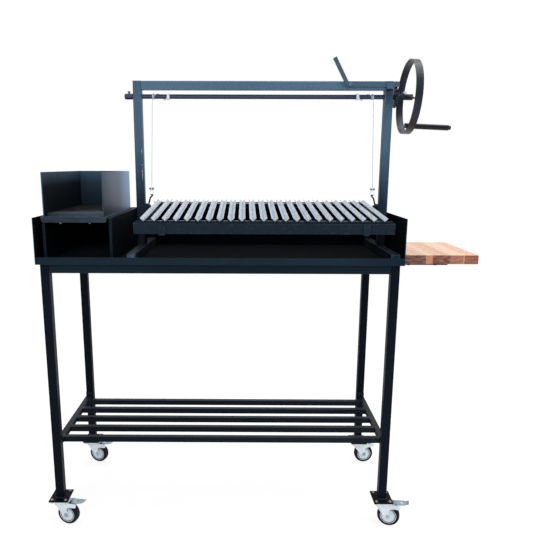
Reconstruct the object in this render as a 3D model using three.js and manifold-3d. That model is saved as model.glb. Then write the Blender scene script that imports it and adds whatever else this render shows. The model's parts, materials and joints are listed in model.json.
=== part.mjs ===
// Santa Maria grill on a wheeled stand. Millimetres, +X to the right, +Y to the back, +Z up.
// Everything is laid out from the middle of the leg frame (x), the front face of the front legs (y)
// and the floor (z). The last lines move the whole to the bottom centre of its own box.
import * as THREE from 'three';
import { mergeVertices } from 'three/addons/utils/BufferGeometryUtils.js';
import Module from 'manifold-3d';

const wasm = await Module();
wasm.setup();

// shares and counts
const halfShare = 0.5;
const roundSides = 24;
const midSides = 16;
const smallSides = 8;
const hexSides = 6;

// gaps
const fitGap = 0.3;
const runGap = 0.5;
const cutOver = 2;
const weldIn = 1;

// square tube of the legs, the rails and the arch
const tubeSize = 30;
const tubeWall = 2;

// leg frame
const frameWidth = 1200;
const frameDepth = 489;
const trayUnderZ = 963;

// foot plates and their bolts
const footPlateWidth = 68;
const footPlateDepth = 82;
const footPlateThickness = 4;
const plateBoltInset = 10;
const plateBoltRadius = 3;
const plateBoltHeadRadius = 6.5;
const plateBoltHeadHeight = 5;

// casters
const casterHeight = 100;
const casterPlateThickness = 3;
const casterPlateInset = 1;
const casterRaceRadius = 21;
const casterRaceHeight = 2.5;
const kingPinRadius = 5;
const kingPinGap = 1.2;
const kingPinHeadRadius = 9;
const kingPinHeadHeight = 3;
const forkCupRadius = 24;
const forkCupHeight = 5;
const forkSheet = 2.5;
const forkInnerWidth = 34;
const forkRear = 22;
const forkFront = 66;
const forkTopFront = 36;
const forkBossRadius = 11;
const forkHeelDrop = 3;
const forkThroatInset = 6;
const forkThroatRise = 19;
const forkTongueStart = 41;
const forkTongueZ = 70;
const forkTongueCorner = 6;
const frontTurnDeg = -16;
const rearLeftTurnDeg = -16;
const rearRightTurnDeg = 4;
const wheelDiameter = 80;
const wheelWidth = 29;
const casterTrail = 28;
const tyreBevel = 5;
const hubRadius = 29;
const hubRecess = 3;
const hubBossRadius = 10;
const hubBossRecess = 1;
const hubRingRadius = 22;
const axleRadius = 4;
const axleHeadRadius = 7;
const axleHeadHeight = 5;
const pedalPinX = 52;
const pedalPinZ = 82.5;
const pedalPinRadius = 2.5;
const pedalBarrelRadius = 4.5;
const pedalBarrelLength = 32;
const pedalRearX = 47;
const pedalFrontX = 93;
const pedalRearZ = 91;
const pedalFrontZ = 95;
const pedalLipDrop = 5;
const pedalSheet = 2.5;
const pedalWidth = 26;

// shelf rack
const shelfTopZ = 311;
const shelfTube = 20;
const shelfBarCount = 5;
const shelfFirstBarGap = 33;
const shelfLastBarGap = 30;
const shelfTabHeight = 68;
const shelfTabWidth = 24;
const shelfTabSheet = 3;
const shelfBoltAbove = 16;
const shelfBoltBelow = 28;
const shelfBoltRadius = 3;
const shelfBoltHeadRadius = 6;
const shelfBoltHeadHeight = 4;

// tray
const sheet = 3;
const trayOverhangSide = 12;
const trayOverhangFront = 10;
const trayOverhangBack = 11;
const trayWallHeight = 155;
const trayLipHeight = 25;

// lifting arch
const archSideGap = 5;
const archBasketGap = 46;
const archForward = 4.5;
const shaftZ = 1525;
const beamTopAboveShaft = 52;
const archTopZ = shaftZ + beamTopAboveShaft;
const archFootFrontY = 25;
const archFootRearInset = 4;

// winding shaft and what turns with it
const shaftRadius = 8;
const shaftStub = 31;
const collarLength = 27;
const collarRadius = 10.5;
const collarSideGap = 2;
const setScrewRadius = 3;
const setScrewWingRadius = 5.5;
const setScrewStand = 7;
const setScrewWingHeight = 4;
const ratchetSideGap = 4;
const ratchetThickness = 9;
const ratchetRadius = 37.2;
const ratchetRootRadius = 29.5;
const ratchetTeeth = 14;
const ratchetNotchShare = 0.62;
const ratchetRampShare = 0.2;
const ratchetTurnDeg = 38;
const hubSideGap = 20;
const hubTubeLength = 51;
const hubTubeRadius = 10.5;
const hubScrewInset = 24;
const wheelSideGap = 47;
const ringRadius = 127;
const ringThickness = 5;
const ringWidth = 25;
const ringSides = 48;
const ringLeanDeg = 2.5;
const spokeThickness = 5;
const spokeTurnDeg = 8;
const crankRadius = 115;
const crankTurnDeg = 242.5;
const crankStudRadius = 4;
const crankBossRadius = 9;
const crankBossLength = 33;
const crankHeadRadius = 7;
const crankHeadHeight = 4;
const crankGripRadius = 9.5;
const crankGripBore = 5;
const crankGripLength = 123;
const crankGripEndRadius = 6.5;
const crankGripEndLength = 4;

// pawl lever
const leverPivotInset = 155;
const leverPivotDrop = 11.5;
const leverPivotZ = archTopZ - leverPivotDrop;
const leverBottomDrop = 20;
const leverBottomZ = archTopZ - leverBottomDrop;
const leverHeight = 17.5;
const leverThickness = 6;
const leverStandOff = 6;
const leverEndPast = 17;
const leverHandleReach = 52;
const leverTipRise = 73;
const leverTipZ = archTopZ + leverTipRise;
const leverTipTurnDeg = 28;
const leverHandleWidth = 14;
const leverHeelReach = 11;
const leverHeelRise = 4;
const pivotBoltRadius = 4;
const pivotHeadRadius = 7.5;
const pivotHeadHeight = 4;
const pivotWasherRadius = 8;
const keeperWidth = 24;
const keeperSheet = 3;
const keeperDrop = 4.2;
const keeperLipHeight = 15;
const keeperFrontGap = 2;

// carriage with the grill bars, built level and then tipped up to the back
const carriageSideGap = 9;
const carriageTiltDeg = 5;
const carriageFrontZ = 1106;
const carriageRearInset = 70;
const memberSize = 20;
const memberRise = 3;
const memberSheet = 3;
const sideMemberInset = 18;
const sideMemberWidth = 28;
const sideMemberDrop = 4;
const tieWidth = 12;
const tieHeight = 4;
const tieRise = 1;
const tieInset = 6;
const barCount = 23;
const barLeg = 16;
const barSheet = 2.5;
const barSideMargin = 25;
const barFrontPast = 2;
const barRearPast = 3;
const slantShare = Math.SQRT1_2;
const notchReach = 8;

// guides that hold the carriage to the posts, with their hook rods
const guideSheet = 4;
const guideGap = 2;
const guideOverlap = 12;
const guideBelow = 28;
const guideAbove = 20;
const guideBlockWidth = 13;
const guideBlockHalfDepth = 11;
const guideBlockBelow = 16;
const guideBlockAbove = 16;
const guideArmHeight = 12;
const hookRodRadius = 3;
const hookEyeRise = 53;
const hookSteps = 14;
const hookPast = 6;
const hookLowShare = 0.55;
const hookHighShare = 0.8;

// grease gutter and the stirrups that hold it
const gutterSheet = 2;
const gutterDepth = 28;
const gutterHeight = 34;
const gutterTopDrop = 0.5;
const gutterPastEnd = 3;
const stirrupWidth = 19;
const stirrupSheet = 3;
const stirrupInset = 89;
const stirrupGap = 0.8;
const stirrupLipDrop = 3;

// lift cables, their clips and their windings on the shaft
const cableRadius = 1;
const cableTopInset = 38;
const cableBottomInset = 27;
const clipWidth = 17;
const clipDepth = 8;
const clipHeight = 9;
const clipNutRadius = 3.2;
const clipNutHeight = 3;
const clipNutSpread = 5;
const eyeHalfWidth = 6.2;
const eyeHeight = 22;
const windPitch = 3;
const windTurns = 2;
const windRun = 50;
const windSteps = 24;
const windSides = 6;
const windLead = 3;
const drumClipLength = 9;
const drumClipSize = 21;
const tailDrop = 12;
const tailRun = 17;
const tailSteps = 9;
const eyeSteps = 14;
const gapSamples = 4;
const gapNearby = 8;

// firewood basket
const basketWidth = 231;
const basketSideGap = 18;
const basketFrontY = 24;
const basketBackGap = 9;
const basketTopZ = 1119;
const basketFrontFlange = 9;
const basketTopFlange = 30;
const platformLeftPast = 2;
const platformRightInset = 15;
const platformLip = 19;
const platformLedge = 24;
const platformCorner = 9;
const cornerSteps = 3;
const boxLeftInset = 7;
const boxRightInset = 9;
const boxFrontInset = 2;
const boxBackInset = 2;
const boxHeight = 145;
const grateBarCount = 13;
const grateBarSize = 10;
const grateSideGap = 3;
const grateEndMargin = 34;
const grateTieSpread = 45;
const grateTieDrop = 7;
const basketBoltRadius = 3;
const basketBoltHeadRadius = 5.5;
const basketBoltHeadHeight = 4;
const basketBoltLength = 22;
const basketBoltInset = 60;
const basketBoltEdge = 12;

// wooden side board
const boardWidth = 275;
const boardDepth = 354;
const boardThickness = 31;
const boardFrontY = 86;
const boardTopZ = 985;
const boardEdgeRound = 2;
const bracketSheet = 4;
const bracketArmLength = 172;
const bracketArmWidth = 30;
const bracketArmInset = 6;
const screwRadius = 2.5;
const screwHeadRadius = 5.5;
const screwHeadHeight = 3;
const screwLength = 18;
const screwInset = 40;

const half = (value) => value * halfShare;
const radians = THREE.MathUtils.degToRad;

// surfaces
function paint(color, roughness, metalness) {
  return new THREE.MeshStandardMaterial({ color, roughness, metalness });
}
const legPaint = () => paint(0x1c2630, 0.5, 0.3);
const archPaint = () => paint(0x465a6c, 0.45, 0.3);
const trayPaint = () => paint(0x0f151b, 0.55, 0.3);
const basketPaint = () => paint(0x1b232b, 0.45, 0.35);
const darkPaint = () => paint(0x232c36, 0.5, 0.3);
const zinc = () => paint(0xb9c1cb, 0.35, 0.85);
const bareSteel = () => paint(0xa9adb5, 0.42, 0.75);
const hubPlastic = () => paint(0x9aa3ad, 0.5, 0.05);
const rubber = () => paint(0x2b2d31, 0.75, 0.0);
const wood = () => paint(0xd8a478, 0.6, 0.0);
const cableSteel = () => paint(0xb4b7ba, 0.4, 0.8);

const root = new THREE.Group();
root.name = 'santa_maria_grill';
const carriageTilt = new THREE.Group();
carriageTilt.name = 'carriage_tilt';
const crankLean = new THREE.Group();
crankLean.name = 'crank_lean';

function place(name, geometry, material, x, y, z, parent = root) {
  const mesh = new THREE.Mesh(geometry, material);
  mesh.name = name;
  mesh.position.set(x, y, z);
  parent.add(mesh);
  return mesh;
}

// solids for joining and cutting
function solidOf(geometry) {
  const plain = geometry.clone();
  plain.deleteAttribute('normal');
  plain.deleteAttribute('uv');
  const merged = mergeVertices(plain);
  return new wasm.Manifold(new wasm.Mesh({
    numProp: 3,
    vertProperties: new Float32Array(merged.attributes.position.array),
    triVerts: new Uint32Array(merged.index.array),
  }));
}

function geometryOf(solid) {
  const mesh = solid.getMesh();
  const geometry = new THREE.BufferGeometry();
  geometry.setAttribute('position', new THREE.BufferAttribute(new Float32Array(mesh.vertProperties), 3));
  geometry.setIndex(new THREE.BufferAttribute(new Uint32Array(mesh.triVerts), 1));
  geometry.computeVertexNormals();
  return geometry;
}

const joined = (solids) => solids.reduce((all, solid) => all.add(solid));
const cutBy = (solid, cutters) => cutters.reduce((left, cutter) => left.subtract(cutter), solid);

// a box given by its two ends along each axis
function block(x0, x1, y0, y1, z0, z1) {
  const geometry = new THREE.BoxGeometry(x1 - x0, y1 - y0, z1 - z0);
  geometry.translate(half(x0 + x1), half(y0 + y1), half(z0 + z1));
  return solidOf(geometry);
}

// a round or many-sided bar along one axis, from one end to the other
function bar(axis, from, to, radius, sides, a = 0, b = 0) {
  const geometry = new THREE.CylinderGeometry(radius, radius, to - from, sides);
  if (axis === 'x') {
    geometry.rotateZ(-half(Math.PI));
    geometry.translate(half(from + to), a, b);
  } else if (axis === 'y') {
    geometry.translate(a, half(from + to), b);
  } else {
    geometry.rotateX(half(Math.PI));
    geometry.translate(a, b, half(from + to));
  }
  return solidOf(geometry);
}

// an outline in x and z, made solid along y
function plateXZ(points, y0, y1, holes = []) {
  const shape = new THREE.Shape(points.map(([x, z]) => new THREE.Vector2(x, z)));
  const geometry = new THREE.ExtrudeGeometry(shape, { depth: y1 - y0, bevelEnabled: false });
  geometry.rotateX(half(Math.PI));
  geometry.translate(0, y1, 0);
  return cutBy(solidOf(geometry), holes);
}

// an outline in y and z, made solid along x
function plateYZ(points, x0, x1) {
  const shape = new THREE.Shape(points.map(([y, z]) => new THREE.Vector2(y, z)));
  const geometry = new THREE.ExtrudeGeometry(shape, { depth: x1 - x0, bevelEnabled: false });
  geometry.rotateX(half(Math.PI));
  geometry.rotateZ(half(Math.PI));
  geometry.translate(x0, 0, 0);
  return solidOf(geometry);
}

// a square tube along one axis with both ends open
function squareTube(axis, length, size, wall) {
  const outer = half(size);
  const inner = outer - wall;
  const shape = new THREE.Shape([
    new THREE.Vector2(-outer, -outer),
    new THREE.Vector2(outer, -outer),
    new THREE.Vector2(outer, outer),
    new THREE.Vector2(-outer, outer),
  ]);
  shape.holes.push(new THREE.Path([
    new THREE.Vector2(-inner, -inner),
    new THREE.Vector2(-inner, inner),
    new THREE.Vector2(inner, inner),
    new THREE.Vector2(inner, -inner),
  ]));
  const geometry = new THREE.ExtrudeGeometry(shape, { depth: length, bevelEnabled: false });
  geometry.translate(0, 0, -half(length));
  if (axis === 'x') geometry.rotateY(half(Math.PI));
  if (axis === 'y') geometry.rotateX(half(Math.PI));
  return geometry;
}

// a round bar along a curve
function bentBar(points, radius, sides, steps) {
  const curve = new THREE.CatmullRomCurve3(points);
  const section = new THREE.Shape();
  section.absarc(0, 0, radius, 0, Math.PI + Math.PI, false);
  const outline = section.getSpacedPoints(sides).slice(0, sides);
  const geometry = new THREE.ExtrudeGeometry(new THREE.Shape(outline), {
    steps,
    bevelEnabled: false,
    extrudePath: curve,
  });
  return solidOf(geometry);
}

// the least gap between stretches of one tube that are further apart along it than nearby
function leastGap(points, radius, nearby) {
  const curve = new THREE.CatmullRomCurve3(points);
  const spots = curve.getSpacedPoints(points.length * gapSamples);
  const pitch = curve.getLength() / spots.length;
  const skip = Math.ceil(nearby / pitch);
  let least = Infinity;
  spots.forEach((spot, i) => spots.slice(i + skip).forEach((other) => {
    least = Math.min(least, spot.distanceTo(other));
  }));
  return least - radius - radius;
}

// legs with their foot plates
const legX = half(frameWidth) - half(tubeSize);
const legFrontY = half(tubeSize);
const legRearY = frameDepth - half(tubeSize);
const footPlateTop = casterHeight + footPlateThickness;
const shelfMidZ = shelfTopZ - half(shelfTube);
const shelfMidX = half(frameWidth) - half(shelfTube);
const shelfBoltHeights = [shelfMidZ - shelfBoltBelow, shelfMidZ + shelfBoltAbove];
const shelfTabMidZ = half(shelfBoltHeights[0] + shelfBoltHeights[1]);
const boltSpots = [-1, 1].flatMap((sx) => [-1, 1].map((sy) => [
  sx * (half(footPlateWidth) - plateBoltInset),
  sy * (half(footPlateDepth) - plateBoltInset),
]));
const corners = [
  { name: 'front_left', x: -legX, y: legFrontY, side: -1, front: true, turnDeg: frontTurnDeg },
  { name: 'front_right', x: legX, y: legFrontY, side: 1, front: true, turnDeg: frontTurnDeg },
  { name: 'rear_left', x: -legX, y: legRearY, side: -1, front: false, turnDeg: rearLeftTurnDeg },
  { name: 'rear_right', x: legX, y: legRearY, side: 1, front: false, turnDeg: rearRightTurnDeg },
];

for (const corner of corners) {
  const legTube = solidOf(squareTube('z', trayUnderZ - casterHeight, tubeSize, tubeWall));
  const raised = legTube.translate([0, 0, half(trayUnderZ + casterHeight)]);
  const plate = block(
    -half(footPlateWidth), half(footPlateWidth),
    -half(footPlateDepth), half(footPlateDepth),
    casterHeight, footPlateTop,
  );
  const holes = boltSpots.map(([x, y]) => bar(
    'z', casterHeight - cutOver, footPlateTop + cutOver, plateBoltRadius + fitGap, smallSides, x, y,
  ));
  const face = half(tubeSize);
  const holeY = corner.front
    ? [face - tubeWall - cutOver, face + cutOver]
    : [-face - cutOver, tubeWall + cutOver - face];
  const shelfHoles = shelfBoltHeights.map((z) => bar(
    'y', holeY[0], holeY[1], shelfBoltRadius + fitGap, smallSides,
    corner.side * (shelfMidX - legX), z,
  ));
  const leg = cutBy(raised.add(plate), [...holes, ...shelfHoles]);
  place(`leg_${corner.name}`, geometryOf(leg), legPaint(), corner.x, corner.y, 0);
}

// top rails, butted between the legs
const railZ = trayUnderZ - half(tubeSize);
const frontRailLength = frameWidth - tubeSize - tubeSize - fitGap - fitGap;
const sideRailLength = frameDepth - tubeSize - tubeSize - fitGap - fitGap;
const rails = [
  { name: 'front', axis: 'x', length: frontRailLength, x: 0, y: legFrontY },
  { name: 'rear', axis: 'x', length: frontRailLength, x: 0, y: legRearY },
  { name: 'left', axis: 'y', length: sideRailLength, x: -legX, y: half(frameDepth) },
  { name: 'right', axis: 'y', length: sideRailLength, x: legX, y: half(frameDepth) },
];
for (const rail of rails) {
  const tube = squareTube(rail.axis, rail.length, tubeSize, tubeWall);
  place(`top_rail_${rail.name}`, tube, legPaint(), rail.x, rail.y, railZ);
}

// shelf rack: two side rails in line with the legs, the cross bars and four end tabs, with the tabs' bolts
const tabFrontY = tubeSize + fitGap;
const tabRearY = frameDepth - tubeSize - fitGap;
const shelfRailY0 = tabFrontY + shelfTabSheet;
const shelfRailY1 = tabRearY - shelfTabSheet;
const shelfUnder = shelfTopZ - shelfTube;
const shelfOuterX = half(frameWidth);
const shelfInnerX = shelfOuterX - shelfTube;
const rackParts = [-1, 1].map((side) => {
  const [x0, x1] = [side * shelfOuterX, side * shelfInnerX].sort((a, b) => a - b);
  return block(x0, x1, shelfRailY0 - weldIn, shelfRailY1 + weldIn, shelfUnder, shelfTopZ);
});
const firstBarY = shelfRailY0 + shelfFirstBarGap;
const lastBarY = shelfRailY1 - shelfLastBarGap - shelfTube;
const shelfBarPitch = (lastBarY - firstBarY) / (shelfBarCount - 1);
const barEnd = shelfInnerX + weldIn;
for (let i = 0; i < shelfBarCount; i += 1) {
  const y = firstBarY + i * shelfBarPitch;
  rackParts.push(block(-barEnd, barEnd, y, y + shelfTube, shelfUnder, shelfTopZ));
}
for (const corner of corners) {
  const tabEdges = [corner.side * shelfOuterX, corner.side * (shelfOuterX - shelfTabWidth)];
  const [x0, x1] = tabEdges.sort((a, b) => a - b);
  const [y0, y1] = corner.front ? [tabFrontY, shelfRailY0] : [shelfRailY1, tabRearY];
  const tabHalf = half(shelfTabHeight);
  rackParts.push(block(x0, x1, y0, y1, shelfTabMidZ - tabHalf, shelfTabMidZ + tabHalf));
  const shankIn = tubeWall + shelfTabSheet + fitGap + shelfTabSheet;
  const shank = corner.front ? [shelfRailY0 - shankIn, shelfRailY0] : [shelfRailY1, shelfRailY1 + shankIn];
  const head = corner.front
    ? [shelfRailY0 - weldIn, shelfRailY0 + shelfBoltHeadHeight]
    : [shelfRailY1 - shelfBoltHeadHeight, shelfRailY1 + weldIn];
  for (const z of shelfBoltHeights) {
    const x = corner.side * shelfMidX;
    rackParts.push(bar('y', shank[0], shank[1], shelfBoltRadius, hexSides, x, z));
    rackParts.push(bar('y', head[0], head[1], shelfBoltHeadRadius, hexSides, x, z));
  }
}
place('shelf_rack', geometryOf(joined(rackParts)), legPaint(), 0, 0, 0);

// casters
const casterPlateUnder = casterHeight - casterPlateThickness;
const raceUnder = casterPlateUnder - casterRaceHeight;
const cupTop = raceUnder - runGap;
const forkTop = cupTop - forkCupHeight;
const forkUnder = forkTop - forkSheet;
const wheelRadius = half(wheelDiameter);
const forkOuter = half(forkInnerWidth) + forkSheet;
for (const corner of corners) {
  const swivel = new THREE.Group();
  swivel.name = `caster_${corner.name}`;
  swivel.position.set(corner.x, corner.y, 0);
  swivel.rotation.z = radians(corner.turnDeg);
  root.add(swivel);

  const plateHalfX = half(footPlateWidth) - casterPlateInset;
  const plateHalfY = half(footPlateDepth) - casterPlateInset;
  const topPlate = joined([
    block(-plateHalfX, plateHalfX, -plateHalfY, plateHalfY, casterPlateUnder, casterHeight),
    bar('z', raceUnder, casterHeight - weldIn, casterRaceRadius, midSides),
    bar('z', forkUnder - runGap - weldIn, casterHeight - weldIn, kingPinRadius, smallSides),
    bar('z', forkUnder - runGap - kingPinHeadHeight, forkUnder - runGap, kingPinHeadRadius, hexSides),
  ]);
  const nutUnder = casterPlateUnder - plateBoltHeadHeight;
  const plateBolts = boltSpots.map(([x, y]) => joined([
    bar('z', nutUnder, footPlateTop + weldIn, plateBoltRadius, hexSides, x, y),
    bar('z', footPlateTop, footPlateTop + plateBoltHeadHeight, plateBoltHeadRadius, hexSides, x, y),
    bar('z', nutUnder, casterPlateUnder + weldIn, plateBoltHeadRadius, hexSides, x, y),
  ]));
  const boltedPlate = topPlate.add(joined(plateBolts));
  place(`caster_plate_${corner.name}`, geometryOf(boltedPlate), zinc(), corner.x, corner.y, 0);

  const cheek = [
    [-forkRear, forkTop],
    [-forkRear, forkTop - forkHeelDrop],
    [casterTrail - forkBossRadius, wheelRadius],
    [casterTrail - half(forkBossRadius), wheelRadius - forkBossRadius],
    [casterTrail + half(forkBossRadius), wheelRadius - forkBossRadius],
    [casterTrail + forkBossRadius, wheelRadius],
    [casterTrail + forkThroatInset, wheelRadius + forkThroatRise],
    [forkTongueStart, forkTongueZ],
    [forkFront - forkTongueCorner, forkTongueZ],
    [forkFront, forkTongueZ + forkTongueCorner],
    [forkFront, forkTop],
  ];
  const forkSolid = joined([
    plateXZ(cheek, -forkOuter, forkSheet - forkOuter),
    plateXZ(cheek, forkOuter - forkSheet, forkOuter),
    block(-forkRear, forkTopFront, -forkOuter, forkOuter, forkUnder, forkTop),
    bar('z', forkTop - weldIn, cupTop, forkCupRadius, midSides),
    bar('y', -forkOuter - weldIn, forkOuter + weldIn, axleRadius, smallSides, casterTrail, wheelRadius),
    bar('y', -forkOuter - axleHeadHeight, -forkOuter, axleHeadRadius, hexSides, casterTrail, wheelRadius),
    bar('y', forkOuter, forkOuter + axleHeadHeight, axleHeadRadius, hexSides, casterTrail, wheelRadius),
  ]);
  const forkCuts = [
    bar('z', forkUnder - cutOver, cupTop + cutOver, kingPinRadius + kingPinGap, smallSides),
    bar(
      'y', -forkOuter - cutOver, forkOuter + cutOver, pedalPinRadius + fitGap, smallSides,
      pedalPinX, pedalPinZ,
    ),
  ];
  place(`caster_fork_${corner.name}`, geometryOf(cutBy(forkSolid, forkCuts)), zinc(), 0, 0, 0, swivel);

  const halfTread = half(wheelWidth);
  const bore = axleRadius + runGap;
  const rimIn = halfTread - hubBossRecess;
  const hubProfile = [
    [bore, -rimIn],
    [hubBossRadius, -rimIn],
    [hubBossRadius, hubRecess - halfTread],
    [hubRingRadius, hubRecess - halfTread],
    [hubRadius, -rimIn],
    [hubRadius, rimIn],
    [hubRingRadius, halfTread - hubRecess],
    [hubBossRadius, halfTread - hubRecess],
    [hubBossRadius, rimIn],
    [bore, rimIn],
    [bore, -rimIn],
  ].map(([r, y]) => new THREE.Vector2(r, y));
  const tyreProfile = [
    [hubRadius + fitGap, -halfTread],
    [wheelRadius - tyreBevel, -halfTread],
    [wheelRadius, tyreBevel - halfTread],
    [wheelRadius, halfTread - tyreBevel],
    [wheelRadius - tyreBevel, halfTread],
    [hubRadius + fitGap, halfTread],
    [hubRadius + fitGap, -halfTread],
  ].map(([r, y]) => new THREE.Vector2(r, y));
  const hub = new THREE.LatheGeometry(hubProfile, roundSides);
  const tyre = new THREE.LatheGeometry(tyreProfile, roundSides);
  place(`caster_hub_${corner.name}`, hub, hubPlastic(), casterTrail, 0, wheelRadius, swivel);
  place(`caster_tyre_${corner.name}`, tyre, rubber(), casterTrail, 0, wheelRadius, swivel);

  const pedalPlate = [
    [pedalRearX, pedalRearZ],
    [pedalFrontX, pedalFrontZ],
    [pedalFrontX + pedalSheet, pedalFrontZ - pedalLipDrop],
    [pedalFrontX + pedalSheet + pedalSheet, pedalFrontZ - pedalLipDrop],
    [pedalFrontX + pedalSheet, pedalFrontZ + pedalSheet],
    [pedalRearX, pedalRearZ + pedalSheet],
  ];
  const ear = [
    [pedalPinX - pedalBarrelRadius, pedalPinZ],
    [pedalPinX + pedalBarrelRadius, pedalPinZ],
    [pedalPinX + pedalBarrelRadius, pedalRearZ + pedalSheet],
    [pedalPinX - pedalBarrelRadius, pedalRearZ + pedalSheet],
  ];
  const earOuter = half(pedalWidth);
  const barrelEnd = half(pedalBarrelLength);
  const pedal = joined([
    plateXZ(pedalPlate, -earOuter, earOuter),
    plateXZ(ear, -earOuter, pedalSheet - earOuter),
    plateXZ(ear, earOuter - pedalSheet, earOuter),
    bar('y', -barrelEnd, barrelEnd, pedalBarrelRadius, smallSides, pedalPinX, pedalPinZ),
    bar('y', -forkOuter - weldIn, forkOuter + weldIn, pedalPinRadius, smallSides, pedalPinX, pedalPinZ),
  ]);
  place(`caster_pedal_${corner.name}`, geometryOf(pedal), zinc(), 0, 0, 0, swivel);
}

// open-fronted tray with a low lip
const trayLeft = -half(frameWidth) - trayOverhangSide;
const trayRight = -trayLeft;
const trayFront = -trayOverhangFront;
const trayBack = frameDepth + trayOverhangBack;
const basketLeft = trayLeft + sheet + basketSideGap;
const basketRight = basketLeft + basketWidth;
const trayFloorTop = trayUnderZ + sheet;
const trayTop = trayUnderZ + trayWallHeight;
const traySolid = cutBy(block(trayLeft, trayRight, trayFront, trayBack, trayUnderZ, trayTop), [
  block(
    trayLeft + sheet, trayRight - sheet, trayFront + sheet, trayBack - sheet,
    trayFloorTop, trayTop + cutOver,
  ),
  block(
    trayLeft + sheet, trayRight - sheet,
    trayFront - cutOver, half(frameDepth),
    trayUnderZ + trayLipHeight, trayTop + cutOver,
  ),
]);
place('tray', geometryOf(traySolid), trayPaint(), 0, 0, 0);

// lifting arch on two long feet, with the keeper of the pawl lever welded to its right post
const archLeft = basketRight + archBasketGap;
const archRight = trayRight - sheet - archSideGap;
const archOuterWidth = archRight - archLeft;
const archCentreX = half(archLeft + archRight);
const archFrontY = half(frameDepth) - archForward;
const archFootRearY = frameDepth - archFootRearInset;
const leverPivotX = archRight - leverPivotInset;
const leverHeelX = leverPivotX - leverHeelReach;
const leverTipX = leverHeelX - leverHandleReach;
const archMidY = archFrontY + half(tubeSize);
const postLeftX = archLeft + half(tubeSize);
const postRightX = archRight - half(tubeSize);
const footTop = trayFloorTop + tubeSize;
const postLength = archTopZ - footTop;
const postSpots = [{ name: 'left', x: postLeftX }, { name: 'right', x: postRightX }];
const leverBack = archFrontY - leverStandOff;
const leverFront = leverBack - leverThickness;
const keeperHalf = half(keeperWidth);
const keeperTabTop = leverBottomZ - keeperDrop - footTop;
const keeperUnder = keeperTabTop - keeperSheet;
const keeperLipBack = leverFront - keeperFrontGap - archMidY;
const keeper = joined([
  block(
    -keeperHalf, keeperHalf, keeperLipBack - keeperSheet, weldIn - half(tubeSize),
    keeperUnder, keeperTabTop,
  ),
  block(
    -keeperHalf, keeperHalf, keeperLipBack - keeperSheet, keeperLipBack,
    keeperUnder, keeperTabTop + keeperLipHeight,
  ),
]);
for (const post of postSpots) {
  const outer = block(-half(tubeSize), half(tubeSize), -half(tubeSize), half(tubeSize), 0, postLength);
  const innerHalf = half(tubeSize) - tubeWall;
  const inner = block(-innerHalf, innerHalf, -innerHalf, innerHalf, -cutOver, postLength - tubeWall);
  const shaftHole = bar('x', -tubeSize, tubeSize, shaftRadius + runGap, roundSides, 0, shaftZ - footTop);
  const hollow = cutBy(outer, [inner, shaftHole]);
  const solid = post.x > archCentreX ? hollow.add(keeper) : hollow;
  place(`arch_post_${post.name}`, geometryOf(solid), archPaint(), post.x, archMidY, footTop);
  const foot = squareTube('y', archFootRearY - archFootFrontY, tubeSize, tubeWall);
  const footY = half(archFootRearY + archFootFrontY);
  place(`arch_foot_${post.name}`, foot, archPaint(), post.x, footY, trayFloorTop + half(tubeSize));
}
const beamLength = archOuterWidth - tubeSize - tubeSize - fitGap - fitGap;
const beamZ = archTopZ - half(tubeSize);
const beamHole = bar(
  'y', -tubeSize, tubeSize, pivotBoltRadius + fitGap, midSides,
  leverPivotX - archCentreX, leverPivotZ - beamZ,
);
const beamSolid = solidOf(squareTube('x', beamLength, tubeSize, tubeWall)).subtract(beamHole);
place('arch_beam', geometryOf(beamSolid), archPaint(), archCentreX, archMidY, beamZ);

// winding shaft, its collar and its ratchet wheel
const shaftLeft = archLeft - shaftStub;
const shaftRight = archRight + wheelSideGap + ringWidth;
const shaftSolid = bar('x', shaftLeft, shaftRight, shaftRadius, roundSides);
place('winding_shaft', geometryOf(shaftSolid), darkPaint(), 0, archMidY, shaftZ);

function setScrew(x, outerRadius) {
  const top = outerRadius + setScrewStand;
  return joined([
    bar('z', shaftRadius + fitGap, top, setScrewRadius, smallSides, x, 0),
    bar('z', top - setScrewWingHeight, top, setScrewWingRadius, hexSides, x, 0),
  ]);
}
const collarRight = -collarSideGap;
const collarLeft = collarRight - collarLength;
const collarSolid = bar('x', collarLeft, collarRight, collarRadius, roundSides)
  .add(setScrew(half(collarLeft + collarRight), collarRadius))
  .subtract(bar('x', collarLeft - cutOver, collarRight + cutOver, shaftRadius + fitGap, roundSides));
place('shaft_collar', geometryOf(collarSolid), darkPaint(), archLeft, archMidY, shaftZ);

const toothTurn = (Math.PI + Math.PI) / ratchetTeeth;
const ratchetPoints = [];
for (let i = 0; i < ratchetTeeth; i += 1) {
  const notchStart = i * toothTurn + radians(ratchetTurnDeg) - half(toothTurn * ratchetNotchShare);
  const notchEnd = notchStart + toothTurn * ratchetNotchShare;
  const rampStart = notchEnd - toothTurn * ratchetRampShare;
  const turns = [notchStart, notchStart, rampStart, notchEnd];
  const radii = [ratchetRadius, ratchetRootRadius, ratchetRootRadius, ratchetRadius];
  turns.forEach((turn, k) => ratchetPoints.push([-radii[k] * Math.sin(turn), radii[k] * Math.cos(turn)]));
}
const ratchetX0 = ratchetSideGap;
const ratchetX1 = ratchetSideGap + ratchetThickness;
const ratchetSolid = plateYZ(ratchetPoints, ratchetX0, ratchetX1)
  .subtract(bar('x', ratchetX0 - cutOver, ratchetX1 + cutOver, shaftRadius + fitGap, roundSides));
place('ratchet_wheel', geometryOf(ratchetSolid), darkPaint(), archRight, archMidY, shaftZ);

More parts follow.
